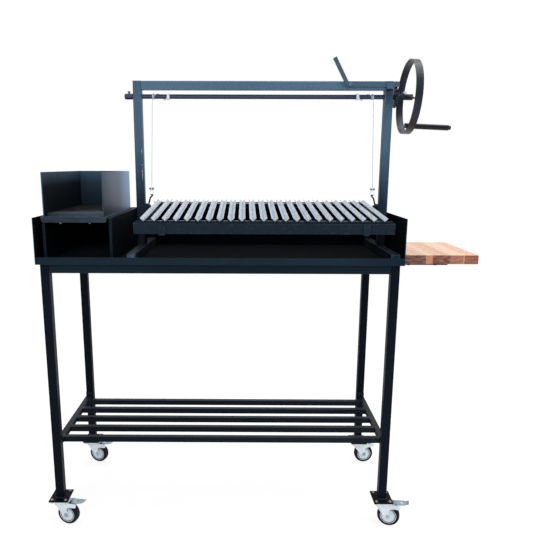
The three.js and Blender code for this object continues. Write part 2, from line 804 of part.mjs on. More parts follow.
// handwheel: hub tube with its screw, one spoke, the flat ring and the stud of the crank
const ringMid = wheelSideGap + half(ringWidth);
const lean = (solid) => solid.translate([-ringMid, 0, 0])
  .rotate([0, ringLeanDeg, 0])
  .translate([ringMid, 0, 0]);
const ringX0 = ringMid - half(ringWidth);
const ringX1 = ringMid + half(ringWidth);
const ringSolid = bar('x', ringX0, ringX1, ringRadius, ringSides)
  .subtract(bar('x', ringX0 - cutOver, ringX1 + cutOver, ringRadius - ringThickness, ringSides));
const spokeReach = ringRadius - half(ringThickness);
const spokeHalf = half(spokeThickness);
const spokeSolid = block(ringX0, ringX1, -spokeReach, spokeReach, -spokeHalf, spokeHalf)
  .rotate([spokeTurnDeg, 0, 0]);
const crankY = crankRadius * Math.cos(radians(crankTurnDeg));
const crankZ = crankRadius * Math.sin(radians(crankTurnDeg));
const bossX1 = ringX1;
const bossX0 = bossX1 - crankBossLength;
const headX = bossX1 + runGap + crankGripLength + runGap;
const crankFixed = joined([
  bar('x', bossX0, bossX1, crankBossRadius, midSides, crankY, crankZ),
  bar('x', bossX1 - weldIn, headX + weldIn, crankStudRadius, midSides, crankY, crankZ),
  bar('x', headX, headX + crankHeadHeight, crankHeadRadius, midSides, crankY, crankZ),
]);
const hubSolid = bar('x', hubSideGap, hubSideGap + hubTubeLength, hubTubeRadius, roundSides)
  .add(setScrew(hubSideGap + hubScrewInset, hubTubeRadius));
const handwheelSolid = joined([lean(joined([ringSolid, spokeSolid, crankFixed])), hubSolid])
  .subtract(bar('x', hubSideGap - cutOver, ringX1 + cutOver, shaftRadius + fitGap, roundSides));
place('handwheel', geometryOf(handwheelSolid), darkPaint(), archRight, archMidY, shaftZ);

crankLean.position.set(archRight + ringMid, archMidY, shaftZ);
crankLean.rotation.y = radians(ringLeanDeg);
root.add(crankLean);
const gripProfile = [
  [crankGripBore, 0],
  [crankGripRadius, 0],
  [crankGripRadius, crankGripLength - crankGripEndLength],
  [crankGripEndRadius, crankGripLength],
  [crankGripBore, crankGripLength],
  [crankGripBore, 0],
].map(([r, y]) => new THREE.Vector2(r, y));
const gripGeometry = new THREE.LatheGeometry(gripProfile, midSides);
gripGeometry.rotateZ(-half(Math.PI));
const gripX = bossX1 + runGap - ringMid;
place('crank_handle', gripGeometry, darkPaint(), gripX, crankY, crankZ, crankLean);

// pawl lever in front of the beam, and its pivot bolt
const leverTop = leverBottomZ + leverHeight;
const leverEndX = archRight + leverEndPast;
const tipTurn = radians(leverTipTurnDeg);
const tipOffX = leverHandleWidth * Math.cos(tipTurn);
const tipOffZ = leverHandleWidth * Math.sin(tipTurn);
const handleRun = (leverTipZ - leverTop) / (leverTipZ - leverBottomZ - leverHeelRise);
const bendX = leverTipX + tipOffX + (leverHeelX - leverTipX) * handleRun;
const leverPoints = [
  [leverTipX, leverTipZ],
  [leverHeelX - leverHeelRise, leverBottomZ + leverHeelRise],
  [leverHeelX, leverBottomZ],
  [leverEndX, leverBottomZ],
  [leverEndX, leverTop],
  [bendX, leverTop],
  [leverTipX + tipOffX, leverTipZ + tipOffZ],
];
const leverHole = bar(
  'y', leverFront - cutOver, leverBack + cutOver, pivotBoltRadius + fitGap, midSides,
  leverPivotX, leverPivotZ,
);
const leverSolid = plateXZ(leverPoints, leverFront, leverBack, [leverHole]);
const leverAtPivot = leverSolid.translate([-leverPivotX, 0, -leverPivotZ]);
place('pawl_lever', geometryOf(leverAtPivot), archPaint(), leverPivotX, 0, leverPivotZ);

const archBackY = archFrontY + tubeSize;
const pivotBolt = joined([
  bar('y', leverFront - fitGap - weldIn, archBackY + fitGap + weldIn, pivotBoltRadius, midSides),
  bar('y', leverFront - fitGap - pivotHeadHeight, leverFront - fitGap, pivotHeadRadius, hexSides),
  bar('y', leverBack + fitGap, archFrontY - fitGap, pivotWasherRadius, midSides),
  bar('y', archBackY + fitGap, archBackY + fitGap + pivotHeadHeight, pivotHeadRadius, hexSides),
]);
place('pawl_pivot_bolt', geometryOf(pivotBolt), zinc(), leverPivotX, 0, leverPivotZ);

// carriage frame: angle members, front and back notched for the bars, and the gutter stirrups
carriageTilt.position.set(archCentreX, 0, carriageFrontZ);
carriageTilt.rotation.x = radians(carriageTiltDeg);
root.add(carriageTilt);
const carriageWidth = archOuterWidth - tubeSize - tubeSize - carriageSideGap - carriageSideGap;
const carriageLength = frameDepth - carriageRearInset;
const carriageHalf = half(carriageWidth);
const memberUnder = memberRise - memberSize;
const barFirst = barSideMargin - carriageHalf;
const barPitch = (carriageWidth - barSideMargin - barSideMargin) / (barCount - 1);
const barSpots = Array.from({ length: barCount }, (_, i) => barFirst + i * barPitch);

const notchDrop = fitGap / slantShare;
const notchPoints = [
  [0, -notchDrop],
  [notchReach, notchReach - notchDrop],
  [-notchReach, notchReach - notchDrop],
];
const notch = plateXZ(notchPoints, -cutOver, carriageLength + cutOver);
const notches = barSpots.map((x) => notch.translate([x, 0, 0]));
const sideMembers = [-1, 1].map((side) => {
  const outer = carriageHalf - sideMemberInset;
  const flat = [side * outer, side * (outer - sideMemberWidth)].sort((a, b) => a - b);
  const web = [side * outer, side * (outer - memberSheet)].sort((a, b) => a - b);
  return block(
    flat[0], flat[1], weldIn, carriageLength - weldIn,
    -memberSheet - sideMemberDrop, -sideMemberDrop,
  ).add(block(web[0], web[1], 0, carriageLength, memberUnder, -sideMemberDrop));
});
const gutterBack = -barFrontPast - fitGap;
const gutterFront = gutterBack - gutterDepth;
const gutterTop = -gutterTopDrop;
const gutterUnder = gutterTop - gutterHeight;
const stirrupOut = gutterFront - stirrupGap - stirrupSheet;
const stirrupUnder = gutterUnder - stirrupGap - stirrupSheet;
const stirrups = [-1, 1].map((side) => {
  const middle = side * (carriageHalf - stirrupInset);
  const x0 = middle - half(stirrupWidth);
  const x1 = middle + half(stirrupWidth);
  return joined([
    block(x0, x1, 0, stirrupSheet, stirrupUnder, memberUnder + weldIn),
    block(x0, x1, stirrupOut, stirrupSheet, stirrupUnder, stirrupUnder + stirrupSheet),
    block(x0, x1, stirrupOut, stirrupOut + stirrupSheet, stirrupUnder, gutterTop - stirrupLipDrop),
  ]);
});
const members = joined([
  block(-carriageHalf, carriageHalf, 0, memberSheet, memberUnder, memberRise),
  block(-carriageHalf, carriageHalf, 0, memberSize, memberUnder, memberUnder + memberSheet),
  block(-carriageHalf, carriageHalf, carriageLength - memberSheet, carriageLength, memberUnder, memberRise),
  block(
    -carriageHalf, carriageHalf, carriageLength - memberSize, carriageLength,
    memberUnder, memberUnder + memberSheet,
  ),
  ...sideMembers,
  ...stirrups,
]);
const frameSolid = cutBy(members, notches);
place('carriage_frame', geometryOf(frameSolid), darkPaint(), 0, 0, 0, carriageTilt);

// cooking grate: angle-iron bars on their corners, open to the top, welded to two ties
const barReach = barLeg * slantShare;
const barStep = barSheet * slantShare;
const barPoints = [
  [0, 0],
  [barReach, barReach],
  [barReach - barStep, barReach + barStep],
  [0, barStep + barStep],
  [barStep - barReach, barReach + barStep],
  [-barReach, barReach],
];
const angleBar = plateXZ(barPoints, -barFrontPast, carriageLength + barRearPast);
const bars = barSpots.map((x) => angleBar.translate([x, 0, 0]));
const ties = [tieInset, carriageLength - tieInset - tieWidth].map((y) => block(
  barFirst, -barFirst, y, y + tieWidth, tieRise - tieHeight, tieRise,
));
place('grill_grate', geometryOf(joined([...bars, ...ties])), bareSteel(), 0, 0, 0, carriageTilt);

// grease gutter
const gutterHalf = carriageHalf + gutterPastEnd;
const gutterOuter = block(-gutterHalf, gutterHalf, gutterFront, gutterBack, gutterUnder, gutterTop);
const gutterInner = block(
  gutterSheet - gutterHalf, gutterHalf - gutterSheet,
  gutterFront + gutterSheet, gutterBack - gutterSheet,
  gutterUnder + gutterSheet, gutterTop + cutOver,
);
place('grease_gutter', geometryOf(gutterOuter.subtract(gutterInner)), darkPaint(), 0, 0, 0, carriageTilt);

// guides round the inner sides of the posts, each with its hook rod
const slopeAtPost = archMidY * Math.tan(radians(carriageTiltDeg));
const guideMidZ = carriageFrontZ + slopeAtPost;
const windRadius = shaftRadius + fitGap + cableRadius;
const cableY = archMidY - windRadius;
const hookZ = guideMidZ + hookEyeRise;
const eyeUnder = hookZ - hookRodRadius - runGap - cableRadius;
const clipUnder = eyeUnder + eyeHeight;
for (const post of postSpots) {
  const side = post.x < archCentreX ? -1 : 1;
  const inner = post.x - side * half(tubeSize);
  const at = (offset) => inner - side * offset;
  const span = (from, to) => [at(from), at(to)].sort((a, b) => a - b);
  const sideMemberX = archCentreX + side * (carriageHalf - sideMemberInset);
  const webX = span(guideGap, guideGap + guideSheet);
  const flangeX = span(-guideOverlap, guideGap + guideSheet);
  const blockX = span(guideGap + weldIn, guideGap + guideSheet + guideBlockWidth);
  const armX = [at(guideGap + weldIn), sideMemberX + side * fitGap].sort((a, b) => a - b);
  const z0 = guideMidZ - guideBelow;
  const z1 = guideMidZ + guideAbove;
  const frontY = archFrontY - guideGap;
  const rearY = archBackY + guideGap;
  const rodX = at(guideGap + guideSheet + half(guideBlockWidth));
  const eyeX = at(cableBottomInset);
  const lift = hookZ - guideMidZ;
  const rodPoints = [
    [rodX, archMidY, guideMidZ],
    [rodX, archMidY, guideMidZ + guideBlockAbove],
    [rodX - side * hookRodRadius, archMidY, guideMidZ + lift * hookLowShare],
    [half(rodX + eyeX), archMidY, guideMidZ + lift * hookHighShare],
    [eyeX - side * runGap, archMidY - runGap, hookZ - hookRodRadius],
    [eyeX, half(archMidY + cableY), hookZ],
    [eyeX, cableY, hookZ],
    [eyeX, cableY - hookPast, hookZ],
  ].map(([x, y, z]) => new THREE.Vector3(x, y, z));
  const guide = joined([
    block(webX[0], webX[1], frontY - guideSheet, rearY + guideSheet, z0, z1),
    block(flangeX[0], flangeX[1], frontY - guideSheet, frontY, z0, z1),
    block(flangeX[0], flangeX[1], rearY, rearY + guideSheet, z0, z1),
    block(
      blockX[0], blockX[1], archMidY - guideBlockHalfDepth, archMidY + guideBlockHalfDepth,
      guideMidZ - guideBlockBelow, guideMidZ + guideBlockAbove,
    ),
    block(
      armX[0], armX[1], archMidY - guideBlockHalfDepth, archMidY + guideBlockHalfDepth,
      guideMidZ - guideBlockBelow, guideMidZ - guideBlockBelow + guideArmHeight,
    ),
    bentBar(rodPoints, hookRodRadius, smallSides, hookSteps),
  ]);
  place(`carriage_guide_${post.name}`, geometryOf(guide), darkPaint(), 0, 0, 0);

  // cable eye and its clip
  const eyePoints = [
    [-cableRadius - half(cableRadius), clipUnder + cableRadius],
    [-eyeHalfWidth, half(clipUnder + eyeUnder) + cableRadius],
    [cableRadius - eyeHalfWidth, hookZ],
    [0, eyeUnder],
    [eyeHalfWidth - cableRadius, hookZ],
    [eyeHalfWidth, half(clipUnder + eyeUnder) + cableRadius],
    [cableRadius + half(cableRadius), clipUnder + cableRadius],
  ].map(([x, z]) => new THREE.Vector3(eyeX + x, cableY, z));
  const clipBody = block(
    eyeX - half(clipWidth), eyeX + half(clipWidth),
    cableY - half(clipDepth), cableY + half(clipDepth),
    clipUnder, clipUnder + clipHeight,
  );
  const nutFace = cableY - half(clipDepth);
  const nuts = [-clipNutSpread, clipNutSpread].map((x) => bar(
    'y', nutFace - clipNutHeight, nutFace + weldIn, clipNutRadius, hexSides,
    eyeX + x, clipUnder + half(clipHeight),
  ));
  const clip = joined([bentBar(eyePoints, cableRadius, windSides, eyeSteps), clipBody, ...nuts]);
  place(`cable_clip_${post.name}`, geometryOf(clip), zinc(), 0, 0, 0);

  // hanging cable from the clip up to the shaft
  const topX = at(cableTopInset);
  const windStartZ = shaftZ - windLead;
  const cable = bentBar([
    new THREE.Vector3(eyeX, cableY, clipUnder + clipHeight + fitGap),
    new THREE.Vector3(topX, cableY, windStartZ - fitGap),
  ], cableRadius, windSides, 1);
  place(`cable_${post.name}`, geometryOf(cable), cableSteel(), 0, 0, 0);

  // winding on the shaft with its drum clip and loose tail
  const inwards = -side;
  const windPoints = [new THREE.Vector3(0, -windRadius, -windLead)];
  const allTurns = windTurns + 1;
  const pointCount = allTurns * windSteps;
  for (let i = 0; i <= pointCount; i += 1) {
    const turn = i / windSteps;
    const angle = turn * (Math.PI + Math.PI);
    const close = Math.min(turn, windTurns) * windPitch;
    const run = Math.max(turn - windTurns, 0) * windRun;
    windPoints.push(new THREE.Vector3(
      inwards * (close + run), -windRadius * Math.cos(angle), windRadius * Math.sin(angle),
    ));
  }
  const windGap = leastGap(windPoints, cableRadius, gapNearby);
  console.log(`winding on the ${post.name}: least gap to itself ${windGap.toFixed(2)} mm`);
  const clipX = inwards * (windTurns * windPitch + windRun);
  const drumBlock = block(
    clipX - half(drumClipLength), clipX + half(drumClipLength),
    -half(drumClipSize), half(drumClipSize), -half(drumClipSize), half(drumClipSize),
  );
  const clipFace = -half(drumClipSize);
  const tailPoints = [
    [clipX, clipFace + weldIn, 0],
    [clipX - half(half(inwards * tailRun)), clipFace - cableRadius, -half(tailDrop)],
    [clipX - half(inwards * tailRun), clipFace, -tailDrop],
    [clipX - inwards * tailRun, clipFace, half(cableRadius) - tailDrop],
  ].map(([x, y, z]) => new THREE.Vector3(x, y, z));
  const winding = joined([
    bentBar(windPoints, cableRadius, windSides, pointCount),
    drumBlock,
    bentBar(tailPoints, cableRadius, windSides, tailSteps),
  ]).subtract(bar(
    'x', clipX - drumClipLength, clipX + drumClipLength, shaftRadius + fitGap, roundSides,
  ));
  place(`cable_winding_${post.name}`, geometryOf(winding), cableSteel(), topX, archMidY, shaftZ);
}

// firewood basket: two side panels, a bolted platform with a lip, its grate and the open-fronted box
const basketBack = trayBack - sheet - basketBackGap;
const panelTop = basketTopZ - sheet;
const panels = [
  { name: 'left', edge: basketLeft, side: 1 },
  { name: 'right', edge: basketRight, side: -1 },
];
for (const panel of panels) {
  const reach = (width) => [panel.edge, panel.edge + panel.side * width].sort((a, b) => a - b);
  const web = reach(sheet);
  const frontFlange = reach(basketFrontFlange);
  const topFlange = reach(basketTopFlange);
  const panelSolid = joined([
    block(web[0], web[1], basketFrontY, basketBack, trayFloorTop, panelTop),
    block(frontFlange[0], frontFlange[1], basketFrontY, basketFrontY + sheet, trayFloorTop, panelTop),
    block(topFlange[0], topFlange[1], basketFrontY, basketBack, panelTop - sheet, panelTop),
  ]);
  place(`basket_panel_${panel.name}`, geometryOf(panelSolid), basketPaint(), 0, 0, 0);
}
const platformLeft = basketLeft - platformLeftPast;
const platformRight = basketRight - platformRightInset;
const lipUnder = basketTopZ - platformLip;
const lipPoints = [[platformLeft, basketTopZ]];
for (let i = 0; i <= cornerSteps; i += 1) {
  const turn = half(Math.PI) * (i / cornerSteps);
  lipPoints.push([
    platformLeft + platformCorner * (1 - Math.cos(turn)),
    lipUnder + platformCorner * (1 - Math.sin(turn)),
  ]);
}
for (let i = cornerSteps; i >= 0; i -= 1) {
  const turn = half(Math.PI) * (i / cornerSteps);
  lipPoints.push([
    platformRight - platformCorner * (1 - Math.cos(turn)),
    lipUnder + platformCorner * (1 - Math.sin(turn)),
  ]);
}
lipPoints.push([platformRight, basketTopZ]);
const lipFront = basketFrontY - sheet - fitGap;
const basketBoltSpots = [basketFrontY + basketBoltEdge, basketBack - basketBoltEdge].flatMap((y) => [
  [platformLeft + basketBoltInset, y],
  [platformRight - basketBoltInset, y],
]);
const platformSolid = cutBy(joined([
  block(platformLeft, platformRight, lipFront, basketBack, panelTop, basketTopZ),
  plateXZ(lipPoints, lipFront, lipFront + sheet),
]), [
  block(
    platformLeft + platformLedge, platformRight - platformLedge,
    basketFrontY + platformLedge, basketBack - platformLedge,
    panelTop - cutOver, basketTopZ + cutOver,
  ),
]);
const basketBolts = basketBoltSpots.map(([x, y]) => joined([
  bar('z', basketTopZ - basketBoltLength, basketTopZ + weldIn, basketBoltRadius, hexSides, x, y),
  bar('z', basketTopZ - weldIn, basketTopZ + basketBoltHeadHeight, basketBoltHeadRadius, hexSides, x, y),
  bar(
    'z', basketTopZ - basketBoltLength, basketTopZ - basketBoltLength + basketBoltHeadHeight,
    basketBoltHeadRadius, hexSides, x, y,
  ),
]));
place('basket_platform', geometryOf(platformSolid.add(joined(basketBolts))), basketPaint(), 0, 0, 0);

const boxLeft = platformLeft + boxLeftInset;
const boxRight = platformRight - boxRightInset;
const boxFront = basketFrontY + boxFrontInset;
const boxBack = basketBack - boxBackInset;
const boxTop = basketTopZ + boxHeight;
const boxSolid = block(boxLeft, boxRight, boxFront, boxBack, basketTopZ, boxTop).subtract(block(
  boxLeft + sheet, boxRight - sheet, boxFront - cutOver, boxBack - sheet,
  basketTopZ - cutOver, boxTop + cutOver,
));
place('basket_box', geometryOf(boxSolid), basketPaint(), 0, 0, 0);

const grateFirst = basketFrontY + grateEndMargin;
const gratePitch = (basketBack - grateEndMargin - grateFirst) / (grateBarCount - 1);
const grateBars = Array.from({ length: grateBarCount }, (_, i) => {
  const y = grateFirst + i * gratePitch;
  return block(
    boxLeft + sheet + grateSideGap, boxRight - sheet - grateSideGap,
    y - half(grateBarSize), y + half(grateBarSize),
    basketTopZ, basketTopZ + grateBarSize,
  );
});
const grateTies = [-1, 1].map((side) => {
  const middle = half(boxLeft + boxRight) + side * grateTieSpread;
  return block(
    middle - half(grateBarSize), middle + half(grateBarSize),
    grateFirst, basketBack - grateEndMargin,
    basketTopZ - grateTieDrop, basketTopZ + weldIn,
  );
});
place('basket_grate', geometryOf(joined([...grateBars, ...grateTies])), bareSteel(), 0, 0, 0);

// side board on its bracket, which carries the screws
const bracketX = trayRight + fitGap;
const boardX0 = bracketX + bracketSheet + fitGap;
const boardX1 = boardX0 + boardWidth;
const boardUnder = boardTopZ - boardThickness;
const boardBackY = boardFrontY + boardDepth;
const armX1 = bracketX + bracketSheet + bracketArmLength;
const armFronts = [boardFrontY + bracketArmInset, boardBackY - bracketArmInset - bracketArmWidth];
const screwSpots = armFronts.flatMap((y) => [
  [boardX0 + screwInset, y + half(bracketArmWidth)],
  [armX1 - screwInset, y + half(bracketArmWidth)],
]);
const screwTop = boardUnder - bracketSheet + screwLength;
const screwHoles = screwSpots.map(([x, y]) => bar(
  'z', boardUnder - bracketSheet - cutOver, screwTop + fitGap, screwRadius + fitGap, smallSides, x, y,
));
const boardSection = [
  [boardFrontY, boardUnder + boardEdgeRound],
  [boardFrontY + boardEdgeRound, boardUnder],
  [boardBackY - boardEdgeRound, boardUnder],
  [boardBackY, boardUnder + boardEdgeRound],
  [boardBackY, boardTopZ - boardEdgeRound],
  [boardBackY - boardEdgeRound, boardTopZ],
  [boardFrontY + boardEdgeRound, boardTopZ],
  [boardFrontY, boardTopZ - boardEdgeRound],
];
const boardSolid = cutBy(plateYZ(boardSection, boardX0, boardX1), screwHoles);
place('side_board', geometryOf(boardSolid), wood(), 0, 0, 0);

const screws = screwSpots.map(([x, y]) => joined([
  bar('z', boardUnder - bracketSheet - weldIn, screwTop, screwRadius, hexSides, x, y),
  bar(
    'z', boardUnder - bracketSheet - screwHeadHeight, boardUnder - bracketSheet + weldIn,
    screwHeadRadius, hexSides, x, y,
  ),
]));
const bracketSolid = joined([
  block(
    bracketX, bracketX + bracketSheet,
    armFronts[0], armFronts[1] + bracketArmWidth,
    boardUnder - bracketSheet, boardTopZ - boardEdgeRound,
  ),
  ...armFronts.map((y) => block(
    bracketX, armX1, y, y + bracketArmWidth, boardUnder - bracketSheet, boardUnder,
  )),
  ...screws,
]);
place('board_bracket', geometryOf(bracketSolid), legPaint(), 0, 0, 0);

// the whole, moved so that the middle of its underside is the origin
root.updateMatrixWorld(true);
const bounds = new THREE.Box3().setFromObject(root, true);
const middle = bounds.getCenter(new THREE.Vector3());
root.position.set(-middle.x, -middle.y, -bounds.min.z);

export default root;
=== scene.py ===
import json
import math

import bmesh
import bpy
from mathutils import Matrix, Vector, noise
from mathutils.geometry import tessellate_polygon


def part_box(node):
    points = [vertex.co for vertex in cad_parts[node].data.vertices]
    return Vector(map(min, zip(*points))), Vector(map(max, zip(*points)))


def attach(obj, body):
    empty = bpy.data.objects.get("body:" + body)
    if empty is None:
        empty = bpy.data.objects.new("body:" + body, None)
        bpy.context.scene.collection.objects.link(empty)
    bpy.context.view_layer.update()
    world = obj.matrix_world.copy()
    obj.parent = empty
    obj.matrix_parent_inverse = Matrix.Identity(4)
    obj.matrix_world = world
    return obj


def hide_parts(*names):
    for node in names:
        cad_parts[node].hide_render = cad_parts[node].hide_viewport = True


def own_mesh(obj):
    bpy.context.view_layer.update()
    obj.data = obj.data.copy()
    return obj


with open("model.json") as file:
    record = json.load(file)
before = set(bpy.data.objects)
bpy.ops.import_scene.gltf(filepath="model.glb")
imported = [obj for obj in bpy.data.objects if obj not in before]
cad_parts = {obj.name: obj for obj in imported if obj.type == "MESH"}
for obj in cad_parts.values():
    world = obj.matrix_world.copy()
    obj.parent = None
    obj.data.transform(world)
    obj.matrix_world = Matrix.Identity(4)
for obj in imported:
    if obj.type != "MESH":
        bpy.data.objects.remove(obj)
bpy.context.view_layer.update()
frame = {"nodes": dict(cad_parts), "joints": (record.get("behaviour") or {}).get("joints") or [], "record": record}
scene = bpy.context.scene
record = frame["record"]
BODY_OF = {n: body for body, nodes in record["behaviour"]["bodies"].items() for n in nodes}
SLOT_OF = {part["node"]: part["material_slot"] for part in record["subparts"]}
CORNERS = ("front_left", "front_right", "rear_left", "rear_right")
SIDES = ("left", "right")


def both(name):
    return tuple(f"{name}_{side}" for side in SIDES)


# Shapes are in millimetres in the leg frame: x from its middle, y from its front face, z from the floor.
# FRAME turns them into the metres that the frame and the materials use.
MM = 0.001
FULL = 2 * math.pi
rail_low, rail_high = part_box("top_rail_front")
SHIFT = Vector(((rail_low.x + rail_high.x) / 2, rail_low.y, 0))
FRAME = Matrix.Translation(SHIFT) @ Matrix.Scale(MM, 4)


def box_mm(node):
    low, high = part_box(node)
    return (low - SHIFT) / MM, (high - SHIFT) / MM


def joint_of(name):
    return next(j for j in frame["joints"] if j["name"] == name)


# Camera
IMAGE_WIDTH, IMAGE_HEIGHT = 533, 552
FOCAL_PX = 581.8403
CENTRE_PX = (241.5369, 289.7048)
YAW, PITCH, ROLL = (math.radians(a) for a in (0.23912, -12.06125, 0.16162))
CAMERA_SPOT = (80.4351, -1907.51, 1286.9554)
SENSOR_MM = 36
VIEW_REACH = 60


def set_camera():
    data = bpy.data.cameras.new("camera")
    camera = bpy.data.objects.new("camera", data)
    scene.collection.objects.link(camera)
    turn = Matrix.Rotation(YAW, 3, "Z")
    forward = turn @ Vector((0, math.cos(PITCH), math.sin(PITCH)))
    right = turn @ Vector((1, 0, 0))
    up = right.cross(forward)
    rolled_right = right * math.cos(ROLL) + up * math.sin(ROLL)
    rolled_up = up * math.cos(ROLL) - right * math.sin(ROLL)
    basis = Matrix((rolled_right, rolled_up, -forward)).transposed()
    camera.matrix_world = Matrix.Translation(FRAME @ Vector(CAMERA_SPOT)) @ basis.to_4x4()
    data.sensor_fit = "HORIZONTAL"
    data.sensor_width = SENSOR_MM
    data.lens = FOCAL_PX * SENSOR_MM / IMAGE_WIDTH
    data.shift_x = (IMAGE_WIDTH / 2 - CENTRE_PX[0]) / IMAGE_WIDTH
    data.shift_y = (CENTRE_PX[1] - IMAGE_HEIGHT / 2) / IMAGE_WIDTH
    data.clip_end = VIEW_REACH
    scene.camera = camera


# Node trees
def linear(code):
    values = [int(code[i:i + 2], 16) / 255 for i in (1, 3, 5)]
    return tuple(v / 12.92 if v <= 0.04045 else ((v + 0.055) / 1.055) ** 2.4 for v in values) + (1,)


class Nodes:
    """A node tree with short calls for the nodes used here."""

    def __init__(self, tree):
        self.tree = tree

    def add(self, kind, inputs=None, **settings):
        made = self.tree.nodes.new("ShaderNode" + kind)
        for key, value in settings.items():
            setattr(made, key, value)
        for key, value in (inputs or {}).items():
            self.put(made.inputs[key], value)
        return made

    def put(self, socket, value):
        """Links a socket, or sets a number or a colour code."""
        if isinstance(value, bpy.types.NodeSocket):
            self.tree.links.new(value, socket)
        else:
            socket.default_value = linear(value) if isinstance(value, str) else value

    def span(self, value, low, high, to_low=0.0, to_high=1.0):
        return self.add("MapRange", {
            "Value": value, "From Min": low, "From Max": high, "To Min": to_low, "To Max": to_high,
        }, clamp=True).outputs["Result"]

    def math(self, operation, first, second=0.5):
        return self.add("Math", {0: first, 1: second}, operation=operation).outputs[0]

    def plus(self, first, second):
        return self.math("ADD", first, second)

    def times(self, first, *others):
        for other in others:
            first = self.math("MULTIPLY", first, other)
        return first

    def choose(self, test, yes, no):
        return self.add("Mix", {0: test, 2: no, 3: yes}).outputs[0]


class Surface(Nodes):
    """A material on a Principled shader."""

    def __init__(self, name):
        self.material = bpy.data.materials.new(name)
        self.material.use_nodes = True
        super().__init__(self.material.node_tree)
        self.shader = self.tree.nodes["Principled BSDF"]
        self.place = self.add("TexCoord").outputs["Object"]

    def set(self, **values):
        for key, value in values.items():
            self.put(self.shader.inputs[key.replace("_", " ")], value)

    def split(self, vector=None):
        """The x, y and z of a vector, or of the place on the object."""
        return self.add("SeparateXYZ", {"Vector": vector or self.place}).outputs

    def normal(self, kind="True Normal"):
        return self.add("NewGeometry").outputs[kind]

    def mapped(self, vector, stretch, turn=(0, 0, 0)):
        mapping = self.add("Mapping", {"Vector": vector, "Rotation": turn, "Scale": stretch})
        return mapping.outputs["Vector"]

    def noise(self, scale, detail=3.0, rough=0.55, distortion=0.0, where=None):
        return self.add("TexNoise", {
            "Vector": where or self.place, "Scale": scale, "Detail": detail, "Roughness": rough,
            "Distortion": distortion,
        }).outputs["Fac"]

    def ramp(self, factor, stops):
        made = self.add("ValToRGB", {"Fac": factor})
        points = made.color_ramp.elements
        while len(points) < len(stops):
            points.new(0.5)
        for point, (spot, colour) in zip(points, stops):
            point.position = spot
            point.color = linear(colour) if isinstance(colour, str) else (*colour, 1)
        return made.outputs["Color"]

    def mix(self, factor, first, second, blend="MIX"):
        made = self.add("Mix", data_type="RGBA", blend_type=blend)
        for key, value in ((0, factor), (6, first), (7, second)):
            self.put(made.inputs[key], value)
        return made.outputs[2]

    def bump(self, height, distance, strength=1.0, under=None):
        values = {"Height": height, "Distance": distance, "Strength": strength}
        if under:
            values["Normal"] = under
        return self.add("Bump", values).outputs["Normal"]

    def edges(self, radius):
        """1 along the outer and inner edges of a piece, 0 on its open faces."""
        softened = self.add("Bevel", {"Radius": radius}, samples=4).outputs["Normal"]
        pair = {0: softened, 1: self.normal("Normal")}
        agree = self.add("VectorMath", pair, operation="DOT_PRODUCT").outputs["Value"]
        return self.span(self.math("SUBTRACT", 1.0, agree), 0.02, 0.3)

    def edge_wear_and_highlight(self, radius, share):
        """Patches along the edges where the coat is gone, which also serve as painted highlights along the edges.
        """
        return self.times(self.edges(radius), self.span(self.noise(34, 4, 0.7), 0.42, 0.62), share)

    def coat_grain(self):
        fine = self.bump(self.noise(1500, 2, 0.5), 0.00012, 0.5)
        return self.bump(self.noise(160, 3, 0.5), 0.00025, 0.35, fine)


# Kinds of material
def paint(name, low, high, worn, rough=(0.4, 0.52), level=0.2, cloud=1.6, edge_wear_and_highlight=0.35, edge=0.0016,
          fine=0.05, scratch=None, painted_light=None):
    """Sprayed paint: slow cloudy colour, fine grain, lighter edges that are worn and also painted highlights;
    scratch is a box of bare edge.
    """
    s = Surface(name)
    slow = s.noise(cloud, 3, 0.5, distortion=0.3)
    specks = s.noise(90, 4, 0.6)
    base = s.mix(s.span(slow, 0.3, 0.7), low, high)
    base = s.mix(s.span(specks, 0.5, 0.8, 0, fine), base, worn)
    # This hook lays painted light and shade over the colour.
    if painted_light:
        base = painted_light(s, base)
    # Lighter edges: worn paint, and painted highlights along the edges.
    worn_and_lit_edges = s.edge_wear_and_highlight(edge, edge_wear_and_highlight)
    if scratch:
        bare = s.span(s.noise(60, 4, 0.7), 0.44, 0.56, 0.0, 0.8)
        for along, (start, end, soft) in zip(s.split(), scratch):
            bare = s.times(bare, s.span(along, start, start + soft), s.span(along, end - soft, end, 1.0, 0.0))
        worn_and_lit_edges = s.math("MAXIMUM", worn_and_lit_edges, bare)
    s.set(Base_Color=s.mix(worn_and_lit_edges, base, worn), Specular_IOR_Level=level,
          Roughness=s.span(s.noise(14, 5, 0.65), 0.3, 0.7, *rough), Normal=s.coat_grain())
    return s.material


def paint_with_painted_shade(name, low, high, shade_colour, worn, shade, rough=(0.4, 0.55), level=0.1, painted_light=None, rag=0.12):
    """Paint under painted shade; shade is a function that gives how much of the shade colour lies where, from 0 to
    1.
    """
    s = Surface(name)
    slow = s.noise(3.4, 5, 0.62, distortion=0.5)
    base = s.mix(s.span(slow, 0.35, 0.68), low, high)
    # Painted shade: the shade colour is laid over the paint where the shade function says.
    ragged = s.plus(shade(s), s.span(s.noise(11, 4, 0.6), 0.2, 0.8, -rag, rag))
    cover = s.span(ragged, 0.0, 1.0)
    base = s.mix(cover, base, shade_colour)
    # This hook lays painted light and shade over the colour.
    if painted_light:
        base = painted_light(s, base)
    uneven = s.plus(cover, s.noise(14, 5, 0.65))
    s.set(Base_Color=s.mix(s.edge_wear_and_highlight(0.0016, 0.5), base, worn), Specular_IOR_Level=level,
          Roughness=s.span(uneven, 0.3, 1.6, *rough), Normal=s.coat_grain())
    return s.material


BRUSH_DEPTH = 0.00006


